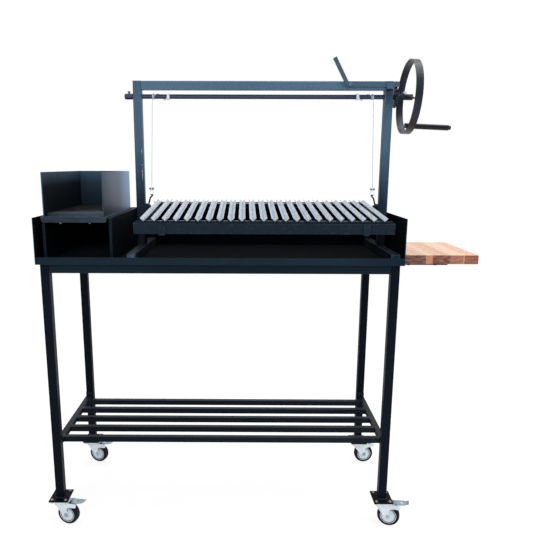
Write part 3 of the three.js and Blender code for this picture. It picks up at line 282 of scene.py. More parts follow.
def metal(name, low, high, rough, scale, metallic, dirt=None):
    """Plated or drawn steel."""
    s = Surface(name)
    brushed = s.noise(scale, 6, 0.65)
    slow = s.noise(9, 5, 0.6, distortion=0.4)
    base = s.mix(s.span(brushed, 0.3, 0.72), low, high)
    if dirt:
        base = s.mix(s.span(slow, 0.48, 0.72, 0, 0.65), base, dirt)
    uneven = s.plus(brushed, s.math("MULTIPLY", slow, 0.6))
    s.set(Base_Color=base, Roughness=s.span(uneven, 0.5, 1.1, *rough), Metallic=metallic,
          Normal=s.bump(brushed, BRUSH_DEPTH, 0.7))
    return s.material


def moulded(name, low, high, rough=(0.4, 0.6), level=0.4):
    """Moulded plastic or rubber with a fine grain and faint dust."""
    s = Surface(name)
    slow = s.noise(30, 5, 0.65)
    s.set(
        Base_Color=s.mix(s.span(slow, 0.35, 0.7), low, high),
        Roughness=s.span(s.noise(80, 3, 0.6), 0.3, 0.7, *rough),
        Normal=s.bump(s.noise(700, 3, 0.6), 0.00008, 0.6),
        Specular_IOR_Level=level,
    )
    return s.material


BAR_COUNT, BAR_LEG = 23, 16
BAR_HALF = BAR_LEG * math.sqrt(0.5)


def grate_bars():
    """Bright angle bars with brush marks along them, with painted shade in each angle's corner and on the
    undersides.
    """
    s = Surface("bare_steel")
    low, high = box_mm("grill_grate")
    first = (FRAME @ Vector((low.x + BAR_HALF, 0, 0))).x
    step = (high.x - low.x - 2 * BAR_HALF) * MM / (BAR_COUNT - 1)
    off_corner = s.math("PINGPONG", s.math("SUBTRACT", s.split()["X"], first), step / 2)
    # Painted shade on the faces that look down.
    under = s.span(s.split(s.normal())["Z"], -0.5, 0.1, 0.92, 0.0)
    brushed = s.noise(55, 6, 0.65, where=s.mapped(s.place, (9, 0.35, 9)))
    stains = s.noise(26, 4, 0.6, distortion=0.4)
    base = s.mix(s.span(brushed, 0.34, 0.68), "#808D9C", "#D0D8E2")
    base = s.mix(s.span(stains, 0.45, 0.75, 0, 0.4), base, "#76818E")
    # Painted shade in each angle's corner.
    base = s.mix(s.span(off_corner, 0.0008, 0.0022, 0.4, 0.0), base, "#56616D")
    s.set(Base_Color=s.mix(under, base, "#5E6974"), Roughness=s.span(brushed, 0.3, 0.7, 0.36, 0.5),
          Metallic=0.15, Normal=s.bump(brushed, BRUSH_DEPTH, 0.7))
    return s.material


def board_wood():
    """Glued strips: each strip's two tints and its grain centre come from its own mesh attributes."""
    s = Surface("board_wood")
    top = s.add("Attribute", attribute_name="tint").outputs["Color"]
    sawn = s.add("Attribute", attribute_name="end_tint").outputs["Color"]
    offset = s.add("Attribute", attribute_name="grain_centre").outputs["Vector"]
    end = s.span(s.math("ABSOLUTE", s.split(s.normal())["Y"]), 0.6, 0.8)
    moved = s.add("VectorMath", {0: s.place, 1: offset}, operation="SUBTRACT").outputs["Vector"]
    warp = s.mapped(moved, (1, 0.14, 1))
    wander = s.noise(7, 3, 0.5, where=warp)
    rings = s.add("TexWave", {
        "Vector": warp, "Scale": 95, "Distortion": 3.2, "Detail": 2.5, "Detail Scale": 1.4,
        "Detail Roughness": 0.55,
    }, wave_type="RINGS", rings_direction="Y").outputs["Fac"]
    pores = s.noise(1, 3, 0.7, where=s.mapped(moved, (900, 32, 900)))
    saw_marks = s.noise(1, 2, 0.5, where=s.mapped(moved, (40, 20, 230), (0, 0.9, 0)))
    streaks = s.span(saw_marks, 0.44, 0.6, 0.0, 0.7)
    tint = s.mix(end, top, s.mix(streaks, sawn, s.mix(0.42, sawn, "#D9A585")))
    ring_share = s.times(s.span(rings, 0.15, 1.0), s.span(end, 0, 1, 0.28, 0.75))
    ringed = s.mix(ring_share, tint, "#D2A078", "MULTIPLY")
    pored = s.mix(s.span(pores, 0.5, 0.78, 0, 0.35), ringed, "#B0805E", "MULTIPLY")
    s.set(
        Base_Color=s.mix(s.span(wander, 0.4, 0.75, 0, 0.14), pored, "#FBE9D6"),
        Roughness=s.span(rings, 0, 1, 0.5, 0.62),
        Normal=s.bump(s.plus(rings, pores), 0.00018, 0.5),
        Specular_IOR_Level=0.25,
    )
    return s.material


# Where the painted shade and the painted sheen lie, in the frame's metres
post_low, post_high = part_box("arch_post_left")
box_low, box_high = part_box("basket_box")
tray_low, tray_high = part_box("tray")
grate_low, grate_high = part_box("basket_grate")
panel_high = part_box("basket_panel_right")[1]
SKIN_NEAR, SKIN_FAR = 0.0013, 0.0017
# Painted shade: what the posts' paint is multiplied by, from low (0) to high (1) on the posts.
POST_PAINTED_SHADE = (
    (0.0, (0.015, 0.03, 0.05)), (0.16, (0.03, 0.06, 0.1)), (0.3, (0.07, 0.13, 0.19)),
    (0.38, (0.2, 0.27, 0.33)), (0.48, (0.38, 0.45, 0.49)), (0.7, (0.82, 0.87, 0.87)),
    (1.0, (0.95, 0.97, 0.98)),
)
# Painted sheen: the right wall's outside from low in front (0) to high at the back (1).
PAINTED_SHEEN_RAMP = ((0.06, "#1E242C"), (0.3, "#37424F"), (0.55, "#53657A"), (0.95, "#7C96B8"))
POST_SCRATCH = (
    (post_high.x - 0.0058, post_high.x - 0.0037, 0.0005), (post_low.y - 0.01, post_low.y + 0.0025, 0.0005),
    (1.23, 1.35, 0.02),
)


def post_painted_shade(s, base):
    """Painted shade: the posts get darker towards the bottom."""
    height = s.span(s.split()["Z"], 1.0, 1.5)
    ragged = s.plus(height, s.span(s.noise(18, 4, 0.6), 0.2, 0.8, -0.03, 0.03))
    return s.mix(1.0, base, s.ramp(ragged, POST_PAINTED_SHADE), "MULTIPLY")


def box_painted_shade(s):
    """Painted shade inside the firewood box: black below and on the left wall, none at the top of the back wall.
    """
    x, y, z = s.split()
    low_down = s.span(z, box_low.z + 0.1, box_high.z, 0.52, 0.0)
    deep_down = s.span(z, box_low.z, box_low.z + 0.11, 0.3, 0.0)
    left = s.span(x, box_low.x + 0.0032, box_low.x + 0.005, 0.45, 0.0)
    covered = s.plus(s.plus(low_down, deep_down), left)
    right_wall = s.span(x, box_high.x - SKIN_FAR, box_high.x - SKIN_NEAR, 1.0, 0.0)
    return s.times(covered, right_wall, s.span(y, box_low.y + 0.001, box_low.y + 0.004))


def box_painted_sheen(s, base):
    """Painted reflection on the outside of the right wall: brownish grey low in front, pale blue grey high at the
    back.
    """
    x, y, z = s.split()
    back, up = s.span(y, box_low.y, box_high.y), s.span(z, box_low.z, box_high.z)
    rise = s.plus(s.times(back, 0.8), s.times(up, 0.25))
    cloudy = s.plus(rise, s.span(s.noise(5, 2, 0.45, distortion=0.3), 0.2, 0.8, -0.08, 0.08))
    outside = s.span(x, box_high.x - SKIN_FAR, box_high.x - SKIN_NEAR)
    return s.mix(outside, base, s.ramp(cloudy, PAINTED_SHEEN_RAMP))


def tray_painted_shade(s):
    """Painted shade inside the tray: black; the lip's front and the outsides have none."""
    x, y, _ = s.split()
    return s.times(s.span(y, tray_low.y + 0.001, tray_low.y + 0.0025),
                   s.span(x, tray_low.x + 0.001, tray_low.x + 0.002),
                   s.span(x, tray_high.x - 0.002, tray_high.x - 0.001, 1.0, 0.0))


def tray_floor_painted_light(s, base):
    """Painted light on the tray's floor: some of its blue grey is kept towards the front."""
    _, y, z = s.split()
    floor = s.span(z, tray_low.z + 0.0034, tray_low.z + 0.004, 1.0, 0.0)
    front = s.span(y, tray_low.y + 0.02, tray_low.y + 0.15, 1.0, 0.02)
    inside = s.span(y, tray_low.y + 0.001, tray_low.y + 0.0025)
    cloudy = s.span(s.noise(8, 4, 0.6, distortion=0.5), 0.3, 0.7, 0.6, 1.0)
    return s.mix(s.times(floor, inside, front, cloudy), base, "#1C2938")


def panel_painted_shade(s):
    """Painted shade on the panels under the box: none in front and little on top, black in the fire space, paler
    outside.
    """
    x, y, z = s.split()
    return s.times(s.span(y, box_low.y, box_low.y + 0.004),
                   s.span(z, tray_high.z - 0.004, tray_high.z - 0.002, 1.0, 0.25),
                   s.span(x, panel_high.x - 0.0006, panel_high.x - 0.0001, 1.0, 0.8))


def grate_painted_shadow(s):
    """Painted shadow on the basket's grate: none in front and at the right, black towards the back."""
    x, y, _ = s.split()
    return s.plus(s.span(y, grate_low.y + 0.02, grate_low.y + 0.2),
                  s.span(x, grate_low.x, grate_high.x, 0.5, 0.0))


# The materials of the slots, and finer ones for single pieces
MATERIALS = {
    "leg_paint": paint("leg_paint", "#060B13", "#0C1420", "#3A4858", (0.38, 0.5), level=0.05, fine=0.03),
    "arch_paint": paint("arch_paint", "#445B71", "#52708A", "#A9BACA", level=0.15, edge_wear_and_highlight=0.6),
    "basket_paint": paint("basket_paint", "#1B2A38", "#283B4C", "#9DB0C6", (0.32, 0.46), cloud=5,
                          edge_wear_and_highlight=0.7),
    "grip_lacquer": paint("grip_lacquer", "#06080C", "#0D1016", "#24272D", (0.14, 0.2), level=0.28,
                          edge_wear_and_highlight=0.0),
    "zinc": metal("zinc", "#D3E0E9", "#EDF5FA", (0.36, 0.52), 240, 0.25, dirt="#B4C3CF"),
    "bare_steel": grate_bars(),
    "cable_steel": metal("cable_steel", "#A5ADB5", "#DDE3E8", (0.3, 0.4), 400, 0.6),
    "hub_plastic": moulded("hub_plastic", "#D9E4EE", "#EAF2F8"),
    "tyre_rubber": moulded("tyre_rubber", "#12141D", "#1D202B", (0.55, 0.75), level=0.12),
    "board_wood": board_wood(),
}
CARRIAGE_PAINT = paint("carriage_paint", "#131E29", "#1B2835", "#8496A8", (0.42, 0.55), level=0.06,
                       edge_wear_and_highlight=0.45, edge=0.002)
GUIDE_PAINT = paint("guide_paint", "#17232F", "#202E3C", "#5C6C7C", (0.45, 0.6), level=0.06)
WHEEL_PAINT = paint("wheel_paint", "#0F151E", "#18212D", "#4C5662", (0.28, 0.36), level=0.3, edge_wear_and_highlight=0.0,
                    fine=0.02)
SHAFT_PAINT = paint("shaft_paint", "#0D1C35", "#142A4A", "#59687A", (0.2, 0.28), level=0.52, edge_wear_and_highlight=0.0,
                    fine=0.02)
SHELF_PAINT = paint("shelf_paint", "#0C1520", "#14202D", "#4A5A6B", (0.36, 0.5), level=0.16, fine=0.03)
RAIL_PAINT = paint("rail_paint", "#0B1925", "#12232F", "#3A4858", level=0.06, fine=0.03)
LEVER_PAINT = paint("lever_paint", "#394C5F", "#455A6F", "#A9BACA", level=0.15, edge_wear_and_highlight=0.6)
FOOT_PAINT = paint("foot_paint", "#121C26", "#202D39", "#8799AA", (0.36, 0.5), level=0.16, edge_wear_and_highlight=0.8,
                   edge=0.0024, cloud=12)
WELD_PAINT = paint("weld_paint", "#23272F", "#373D47", "#59616C", (0.4, 0.5))
ARCH_WELD = paint("arch_weld", "#141F2A", "#22303D", "#6A7B8C", (0.4, 0.5), level=0.15)
RAW_ENDS = {
    side: paint(f"raw_end_{side}", *tints, (0.45, 0.6), cloud=160, fine=fine)
    for side, tints, fine in (
        ("left", ("#24394B", "#5F7F9E", "#B9C8D6"), 0.2),
        ("right", ("#172C42", "#2A4763", "#7C8FA3"), 0.1),
    )
}
# The posts' paint, with painted shade towards the bottom.
POST_PAINT_AND_SHADE = paint("post_paint_and_shade", "#3A5064", "#496379", "#DDE6EE", level=0.1, edge_wear_and_highlight=0.5, painted_light=post_painted_shade,
                   scratch=POST_SCRATCH)
WINDING_STEEL = metal("winding_steel", "#C9D2DA", "#F2F5F8", (0.3, 0.4), 400, 0.3)
NUT_STEEL = metal("nut_steel", "#2C3138", "#6A737D", (0.35, 0.5), 200, 0.6)
YELLOW_ZINC = metal("yellow_zinc", "#8F8768", "#D6CFB2", (0.3, 0.45), 240, 0.6, dirt="#5C563F")
PEDAL_ZINC = metal("pedal_zinc", "#7F95A6", "#CFDEE8", (0.26, 0.42), 120, 0.5, dirt="#566C7D")
# The box's paint, with painted shade inside and a painted sheen on the right wall's outside.
BOX_PAINT_SHADE_SHEEN = paint_with_painted_shade("box_paint_shade_sheen", "#3A546B", "#46617A", "#070C12", "#B9C8D6", box_painted_shade, painted_light=box_painted_sheen,
                   rag=0.04)
# The tray's paint, with painted shade inside and painted light on its floor towards the front.
TRAY_PAINT_AND_SHADE = paint_with_painted_shade("tray_paint_and_shade", "#15222D", "#1D2C38", "#04070C", "#3A4B5C", tray_painted_shade, (0.5, 0.7),
                    level=0.04, painted_light=tray_floor_painted_light)
# The panels' paint, with painted shade in the fire space.
PANEL_PAINT_AND_SHADE = paint_with_painted_shade("panel_paint_and_shade", "#0E1720", "#16212C", "#04070C", "#9DB0C6", panel_painted_shade, level=0.05)
# The basket grate's steel, with painted shadow towards the back.
GRATE_STEEL_AND_SHADOW = paint_with_painted_shade("grate_steel_and_shadow", "#38414B", "#5C6875", "#090D12", "#A9B4BF", grate_painted_shadow, (0.4, 0.6))
FINISHED_NODES = (
    (BOX_PAINT_SHADE_SHEEN, ("basket_box",)), (TRAY_PAINT_AND_SHADE, ("tray",)), (GRATE_STEEL_AND_SHADOW, ("basket_grate",)),
    (PANEL_PAINT_AND_SHADE, both("basket_panel")), (SHELF_PAINT, ("shelf_rack",)), (LEVER_PAINT, ("pawl_lever",)),
    (CARRIAGE_PAINT, ("carriage_frame", "grease_gutter")), (GUIDE_PAINT, both("carriage_guide")),
    (POST_PAINT_AND_SHADE, both("arch_post")), (FOOT_PAINT, both("arch_foot")),
    (WHEEL_PAINT, ("handwheel", "ratchet_wheel")), (SHAFT_PAINT, ("winding_shaft", "shaft_collar")),
    (RAIL_PAINT, ("top_rail_front", "top_rail_rear", *both("top_rail"))),
)
FINISH = {node: made for made, nodes in FINISHED_NODES for node in nodes}


# Mesh helpers
SHARP_DEGREES = 40
TUBE_ROUND = 3.0


def piece(name, bm, slot, body, replaces=(), sharp=38, material=None, place=FRAME):
    """Makes the object from a mesh in mm, ties it to its body and hides the CAD nodes that it stands for."""
    mesh = bpy.data.meshes.new(name)
    bm.transform(place)
    bmesh.ops.recalc_face_normals(bm, faces=bm.faces)
    bm.to_mesh(mesh)
    bm.free()
    mesh.materials.append(material or MATERIALS[slot])
    obj = bpy.data.objects.new(name, mesh)
    scene.collection.objects.link(obj)
    mesh.polygons.foreach_set("use_smooth", [True] * len(mesh.polygons))
    mesh.set_sharp_from_angle(angle=math.radians(sharp))
    even = obj.modifiers.new("even", "WEIGHTED_NORMAL")
    even.keep_sharp = True
    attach(obj, body)
    if replaces:
        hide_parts(*replaces)
    return obj


def welded(node):
    """A copy of a CAD node's mesh in mm, with its triangles joined into flat faces."""
    bm = bmesh.new()
    bm.from_mesh(frame["nodes"][node].data)
    bm.transform(FRAME.inverted())
    bmesh.ops.remove_doubles(bm, verts=bm.verts, dist=0.02)
    bmesh.ops.dissolve_limit(bm, angle_limit=math.radians(0.5), verts=bm.verts, edges=bm.edges)
    return bm


def round_edges(bm, edges, width, steps=2):
    edges = list(edges)
    if edges:
        bmesh.ops.bevel(
            bm, geom=edges, offset=width, offset_type="OFFSET", segments=steps, profile=0.5,
            affect="EDGES", clamp_overlap=True,
        )


def sharp_edges(bm):
    least = math.radians(SHARP_DEGREES)
    return [e for e in bm.edges if len(e.link_faces) == 2 and e.calc_face_angle(0) > least]


def outer_corners(bm, axis, least):
    """The long outer edges of a square tube that runs along one axis."""
    others = [k for k in range(3) if k != axis]
    long = []
    for e in bm.edges:
        along = e.verts[1].co - e.verts[0].co
        if along.length > least and abs(along[axis]) > 0.999 * along.length:
            long.append(e)
    mids = [(e.verts[0].co + e.verts[1].co) / 2 for e in long]
    low = [min(m[k] for m in mids) for k in others]
    high = [max(m[k] for m in mids) for k in others]
    return [
        e for e, m in zip(long, mids)
        if all(min(abs(m[k] - lo), abs(m[k] - hi)) < 0.1 for k, lo, hi in zip(others, low, high))
    ]


def dress(node, width=0.5, tube=None, least=200):
    """A CAD node's own shape with rounded edges and its slot's material; tube is a square tube's axis."""
    bm = welded(node)
    if tube is not None:
        round_edges(bm, outer_corners(bm, tube, least), TUBE_ROUND, 3)
    round_edges(bm, sharp_edges(bm), width)
    piece(f"{node}_shape", bm, SLOT_OF[node], BODY_OF[node], [node], material=FINISH.get(node))


def sweep(bm, points, radius, sides):
    """A round bar along points; radius is one length or one for each point."""
    last = len(points) - 1
    radii = radius if isinstance(radius, (list, tuple)) else [radius] * len(points)
    ways = [(points[min(i + 1, last)] - points[max(i - 1, 0)]).normalized() for i in range(last + 1)]
    side = ways[0].orthogonal().normalized()
    turns = [FULL * k / sides for k in range(sides)]
    rings = []
    for point, way, size in zip(points, ways, radii):
        side = (side - way * side.dot(way)).normalized()
        other = way.cross(side)
        rings.append([bm.verts.new(point + (side * math.cos(t) + other * math.sin(t)) * size) for t in turns])
    for first, second in zip(rings, rings[1:]):
        for k in range(sides):
            bm.faces.new((first[k], first[(k + 1) % sides], second[(k + 1) % sides], second[k]))
    bm.faces.new(rings[0][::-1])
    bm.faces.new(rings[-1])


def smooth_path(points, per_span=8):
    """A Catmull-Rom curve through points."""
    padded = [points[0] * 2 - points[1]] + list(points) + [points[-1] * 2 - points[-2]]
    out = []
    for i in range(1, len(padded) - 2):
        p0, p1, p2, p3 = padded[i - 1:i + 3]
        for k in range(per_span):
            t = k / per_span
            out.append((p1 * 2 + (p2 - p0) * t + (p0 * 2 - p1 * 5 + p2 * 4 - p3) * t * t
                        + (p1 * 3 - p0 - p2 * 3 + p3) * t * t * t) / 2)
    out.append(points[-1].copy())
    return out


def lathe(bm, profile, axis, centre, segments=48):
    """Turns a closed line of (radius, along) pairs round an axis through a centre."""
    a, b = [k for k in range(3) if k != axis]
    rings = []
    for i in range(segments):
        angle = FULL * i / segments
        ring = []
        for r, along in profile:
            spot = list(centre)
            spot[axis] += along
            spot[a] += r * math.cos(angle)
            spot[b] += r * math.sin(angle)
            ring.append(bm.verts.new(spot))
        rings.append(ring)
    count = len(profile)
    for first, second in zip(rings, rings[1:] + rings[:1]):
        for k in range(count):
            m = (k + 1) % count
            off_axis = [second[i] for i in (m, k) if profile[i][0] > 1e-6]
            if off_axis:
                bm.faces.new((first[k], first[m], *off_axis))
    bmesh.ops.remove_doubles(bm, verts=[v for ring in rings for v in ring], dist=1e-4)


def plate(bm, outline, axis, low, high, holes=(), bevel=0.4):
    """An outline in the two other axes, with holes, made solid along one axis."""
    loops = [list(outline)] + [list(h) for h in holes]
    a, b = [k for k in range(3) if k != axis]

    def spot(point, along):
        out = [0, 0, 0]
        out[axis], out[a], out[b] = along, point[0], point[1]
        return bm.verts.new(out)

    flat = [p for loop in loops for p in loop]
    under = [spot(p, low) for p in flat]
    over = [spot(p, high) for p in flat]
    made = []
    for tri in tessellate_polygon([[Vector((x, y, 0)) for x, y in loop] for loop in loops]):
        made.append(bm.faces.new([under[k] for k in tri]))
        made.append(bm.faces.new([over[k] for k in tri][::-1]))
    first = 0
    for loop in loops:
        count = len(loop)
        for k in range(count):
            m = first + (k + 1) % count
            made.append(bm.faces.new((under[first + k], under[m], over[m], over[first + k])))
        first += count
    bmesh.ops.recalc_face_normals(bm, faces=made)
    if bevel:
        rims = {e for f in made for e in f.edges if len(e.link_faces) == 2 and e.calc_face_angle(0) > 0.7}
        round_edges(bm, rims, bevel)


def ring_points(x, y, radius, count, start=0.0, span=FULL):
    closed = abs(span - FULL) < 1e-6
    steps = count if closed else count - 1
    return [
        (x + radius * math.cos(start + span * k / steps), y + radius * math.sin(start + span * k / steps))
        for k in range(count)
    ]


def rounded_outline(points, radius, steps=4):
    """A polygon's outline with its corners rounded; radius is one length or one for each corner."""
    count = len(points)
    radii = radius if isinstance(radius, (list, tuple)) else [radius] * count
    out = []
    for k in range(count):
        here, before, after = (Vector(points[i]) for i in (k, k - 1, (k + 1) % count))
        size = radii[k]
        if size < 1e-6:
            out.append(tuple(here))
            continue
        to_a, to_b = before - here, after - here
        reach = min(size, to_a.length * 0.49, to_b.length * 0.49)
        start, end = here + to_a.normalized() * reach, here + to_b.normalized() * reach
        for i in range(steps + 1):
            t = i / steps
            out.append(tuple(start * (1 - t) ** 2 + here * (2 * t * (1 - t)) + end * t * t))
    return out


def hex_bolt(bm, centre, axis, sign, radius, height, washer=0.0, thread=0.0, turn=0.3):
    """A chamfered hexagon head on a washer; axis and sign say which way the head looks."""
    a, b = [k for k in range(3) if k != axis]
    base = washer * 0.18
    if washer:
        rim = [(washer, 0), (washer, sign * base * 0.7), (washer - 0.4, sign * base)]
        lathe(bm, [(0, 0), *rim, (0, sign * base)], axis, centre, 28)
    ends = sorted((centre[axis] + sign * base, centre[axis] + sign * (base + height)))
    plate(bm, ring_points(centre[a], centre[b], radius, 6, turn), axis, *ends, bevel=min(0.8, height * 0.22))
    if thread:
        bare, tip = base + height + 1.6, base + height + 2.1
        lathe(bm, [(0, 0), (thread, 0), (thread, sign * bare), (thread - 0.5, sign * tip), (0, sign * tip)],
              axis, centre, 20)


def bead(bm, points, radius, pitch=2.4):
    """A weld bead: a low bar of overlapping ripples along a line of points."""
    for start, end in zip(points, points[1:]):
        length = (end - start).length
        count = max(4, int(length / pitch) * 3)
        line = [start.lerp(end, i / count) for i in range(count + 1)]
        sizes = [radius * (0.86 + 0.14 * math.cos(i * FULL / 3)) for i in range(count + 1)]
        sizes[0] = sizes[-1] = radius * 0.6
        sweep(bm, line, sizes, 8)


# Cables
CABLE_R = 1.0
LAY, WIRES, WIRE_SIDES, STEPS_PER_LAY = 11, 6, 6, 10
WIND_R, WIND_PITCH, WIND_TURNS, WIND_RUN, WIND_LEAD, WIND_STEPS = 9.3, 3.0, 2, 50.0, 3.0, 48
SHAFT_R, SHAFT_Y, SHAFT_Z = 8.0, 255.0, 1525.0
DRUM_CLIP, TAIL_DROP, TAIL_RUN, TAIL_R = (9.0, 21.0), 13.0, 19.0, 1.5
DRUM_BOLT_UP = 6


def strands(bm, path, radius):
    """Twisted wire along a path: a core and wires laid round it."""
    wire = radius * 0.36
    offset = radius - wire
    lengths = [0.0]
    for a, b in zip(path, path[1:]):
        lengths.append(lengths[-1] + (b - a).length)
    total = lengths[-1]
    steps = max(len(path), int(total / LAY * STEPS_PER_LAY))
    fine, frames = [], []
    j = 0
    for i in range(steps + 1):
        goal = total * i / steps
        while j < len(lengths) - 2 and lengths[j + 1] < goal:
            j += 1
        share = (goal - lengths[j]) / max(lengths[j + 1] - lengths[j], 1e-9)
        fine.append(path[j].lerp(path[j + 1], min(max(share, 0), 1)))
    side = (fine[1] - fine[0]).orthogonal().normalized()
    for i in range(steps + 1):
        way = (fine[min(i + 1, steps)] - fine[max(i - 1, 0)]).normalized()
        side = (side - way * side.dot(way)).normalized()
        frames.append((side.copy(), way.cross(side)))
    sweep(bm, fine, offset * 0.75, 6)
    for k in range(WIRES):
        turned = []
        for i, (point, (a, b)) in enumerate(zip(fine, frames)):
            angle = FULL * (k / WIRES + total * i / steps / LAY)
            turned.append(point + (a * math.cos(angle) + b * math.sin(angle)) * offset)
        sweep(bm, turned, wire, WIRE_SIDES)


def lift_cable(name, side):
    """A lift cable, which leans outwards going down; returns the x of its upper end."""
    low, high = box_mm(f"cable_{name}")
    lean = (low.x + CABLE_R, high.x - CABLE_R)
    top_x, bottom_x = (lean[1], lean[0]) if side < 0 else lean
    y = (low.y + high.y) / 2
    top, bottom = Vector((top_x, y, high.z)), Vector((bottom_x, y, low.z))
    bm = bmesh.new()
    strands(bm, [bottom.lerp(top, k / 12) for k in range(13)], CABLE_R)
    cable = piece(f"lift_cable_{name}", bm, "cable_steel", "stand", [f"cable_{name}"], sharp=60)
    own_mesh(cable)
    return top_x


def winding_wire(name, top_x, inwards, clip_x, face):
    """The turns round the shaft, the run along it to the drum clip, and the loose tail."""
    points = [Vector((top_x, SHAFT_Y - WIND_R, SHAFT_Z - WIND_LEAD))]
    for i in range((WIND_TURNS + 1) * WIND_STEPS + 1):
        turn = i / WIND_STEPS
        run = min(turn, WIND_TURNS) * WIND_PITCH + max(turn - WIND_TURNS, 0) * WIND_RUN
        points.append(Vector((
            top_x + inwards * run, SHAFT_Y - WIND_R * math.cos(turn * FULL),
            SHAFT_Z + WIND_R * math.sin(turn * FULL),
        )))
    tail = smooth_path([Vector(v) for v in (
        (clip_x, face + 1, SHAFT_Z),
        (clip_x - inwards * TAIL_RUN / 4, face - CABLE_R, SHAFT_Z - TAIL_DROP / 2),
        (clip_x - inwards * TAIL_RUN / 2, face, SHAFT_Z - TAIL_DROP),
        (clip_x - inwards * TAIL_RUN, face, SHAFT_Z - TAIL_DROP + CABLE_R / 2),
    )])
    bm = bmesh.new()
    strands(bm, points, CABLE_R)
    strands(bm, tail, TAIL_R)
    piece(f"winding_wire_{name}", bm, "cable_steel", "shaft", [f"cable_winding_{name}"], sharp=60,
          material=WINDING_STEEL)


def drum_clip(name, clip_x, face, half_long, half_wide):
    bm = bmesh.new()
    corners = ((-1, -1), (1, -1), (1, 1), (-1, 1))
    outline = [(SHAFT_Y + a * half_wide, SHAFT_Z + b * half_wide) for a, b in corners]
    plate(bm, rounded_outline(outline, 3), 0, clip_x - half_long, clip_x + half_long,
          [ring_points(SHAFT_Y, SHAFT_Z, SHAFT_R + 0.3, 24)], bevel=0.8)
    for z in (-DRUM_BOLT_UP, DRUM_BOLT_UP):
        hex_bolt(bm, (clip_x, face, SHAFT_Z + z), 1, -1, 2.6, 2.0)
    piece(f"drum_clip_{name}", bm, "zinc", "shaft")


def make_cables():
    half_long, half_wide = (v / 2 for v in DRUM_CLIP)
    face = SHAFT_Y - half_wide
    for name, side in zip(SIDES, (-1, 1)):
        top_x = lift_cable(name, side)
        clip_x = top_x - side * (WIND_TURNS * WIND_PITCH + WIND_RUN)
        winding_wire(name, top_x, -side, clip_x, face)
        drum_clip(name, clip_x, face, half_long, half_wide)


# Small hardware
ARCH_RIGHT = box_mm("arch_post_right")[1].x
HUB_SCREW_X, HUB_SCREW_UNDER = 44, 13
BASKET_BOLT_IN, BASKET_BOLT_FRONT, BASKET_BOLT_BACK, BASKET_BOLT_Z = 60, 15.3, 12, 1101
SHELF_BOLT_IN, SHELF_BOLT_DEEP, SHELF_BOLT_ZS = 15, 6, (273, 317)
CLIP_NUT_X, CLIP_NUT_Z, CLIP_FRONT, CLIP_BACK = 5, 1203.3, 240.9, 249.1
FOOT_TOP_Z, BEAM_FACE_Z, POST_DEPTH = 996.6, 1547, 30
FILL_CELLS, FILL_INSET, FILL_DEPTH = 14, 1.5, 6


def make_bolts():
    """Bright bolts of the basket's platform and the shelf's tabs, and the screw in the wheel's hub."""
    low, high = box_mm("basket_platform")
    bm = bmesh.new()
    for x in (low.x + BASKET_BOLT_IN, high.x - BASKET_BOLT_IN):
        for y in (low.y + BASKET_BOLT_FRONT, high.y - BASKET_BOLT_BACK):
            hex_bolt(bm, (x, y, BASKET_BOLT_Z), 2, -1, 5.2, 3.6, thread=3)
    piece("basket_bolts", bm, "zinc", "stand")
    low, high = box_mm("shelf_rack")
    bm = bmesh.new()
    for x in (low.x + SHELF_BOLT_IN, high.x - SHELF_BOLT_IN):
        for z in SHELF_BOLT_ZS:
            for y, sign in ((low.y + SHELF_BOLT_DEEP, 1), (high.y - SHELF_BOLT_DEEP, -1)):
                hex_bolt(bm, (x, y - sign * 3, z), 1, sign, 5.6, 3.8, washer=7)
    piece("shelf_bolts", bm, "zinc", "stand")
    bm = bmesh.new()
    centre = (ARCH_RIGHT + HUB_SCREW_X, SHAFT_Y, SHAFT_Z + HUB_SCREW_UNDER)
    hex_bolt(bm, centre, 2, 1, 6.4, 5.4, washer=7.4)
    piece("hub_screw", bm, "zinc", "shaft")


def make_foot_fills():
    """The feet's open front ends, closed by rough weld metal."""
    for name, seed in zip(SIDES, (3, 11)):
        low, high = box_mm(f"arch_foot_{name}")
        count, inset = FILL_CELLS, FILL_INSET
        x0, x1, z0, z1 = low.x + inset, high.x - inset, low.z + inset, high.z - inset
        bm = bmesh.new()
        rows = []
        for i in range(count + 1):
            row = []
            for k in range(count + 1):
                u, v = i / count, k / count
                rough = math.sin((u + v) * 19 + seed) * 0.5 + noise.noise(Vector((u * 7, v * 7, seed))) * 0.9
                rim = min(u, v, 1 - u, 1 - v) * 12
                y = low.y + 1.6 - min(rim, 1.0) * (0.7 + 0.6 * rough)
                row.append(bm.verts.new((x0 + (x1 - x0) * u, y, z0 + (z1 - z0) * v)))
            rows.append(row)
        back = [[bm.verts.new((v.co.x, low.y + FILL_DEPTH, v.co.z)) for v in row] for row in rows]
        for i in range(count):
            for k in range(count):
                bm.faces.new((rows[i][k], rows[i][k + 1], rows[i + 1][k + 1], rows[i + 1][k]))
                bm.faces.new((back[i][k], back[i + 1][k], back[i + 1][k + 1], back[i][k + 1]))
        for k in range(count):
            for a, b in (((0, k), (0, k + 1)), ((count, k), (count, k + 1)), ((k, 0), (k + 1, 0)),
                         ((k, count), (k + 1, count))):
                bm.faces.new((rows[a[0]][a[1]], rows[b[0]][b[1]], back[b[0]][b[1]], back[a[0]][a[1]]))
        piece(f"foot_fill_{name}", bm, "arch_paint", "stand", material=RAW_ENDS[name], sharp=70)


def make_clip_nuts():
    for name in SIDES:
        low, high = box_mm(f"cable_clip_{name}")
        bm = bmesh.new()
        for across in (-CLIP_NUT_X, CLIP_NUT_X):
            x = (low.x + high.x) / 2 + across
            hex_bolt(bm, (x, CLIP_FRONT, CLIP_NUT_Z), 1, -1, 3.4, 2.6, thread=1.6)
            hex_bolt(bm, (x, CLIP_BACK, CLIP_NUT_Z), 1, 1, 3.2, 1.6)
        piece(f"clip_nuts_{name}", bm, "zinc", "carriage", material=NUT_STEEL)


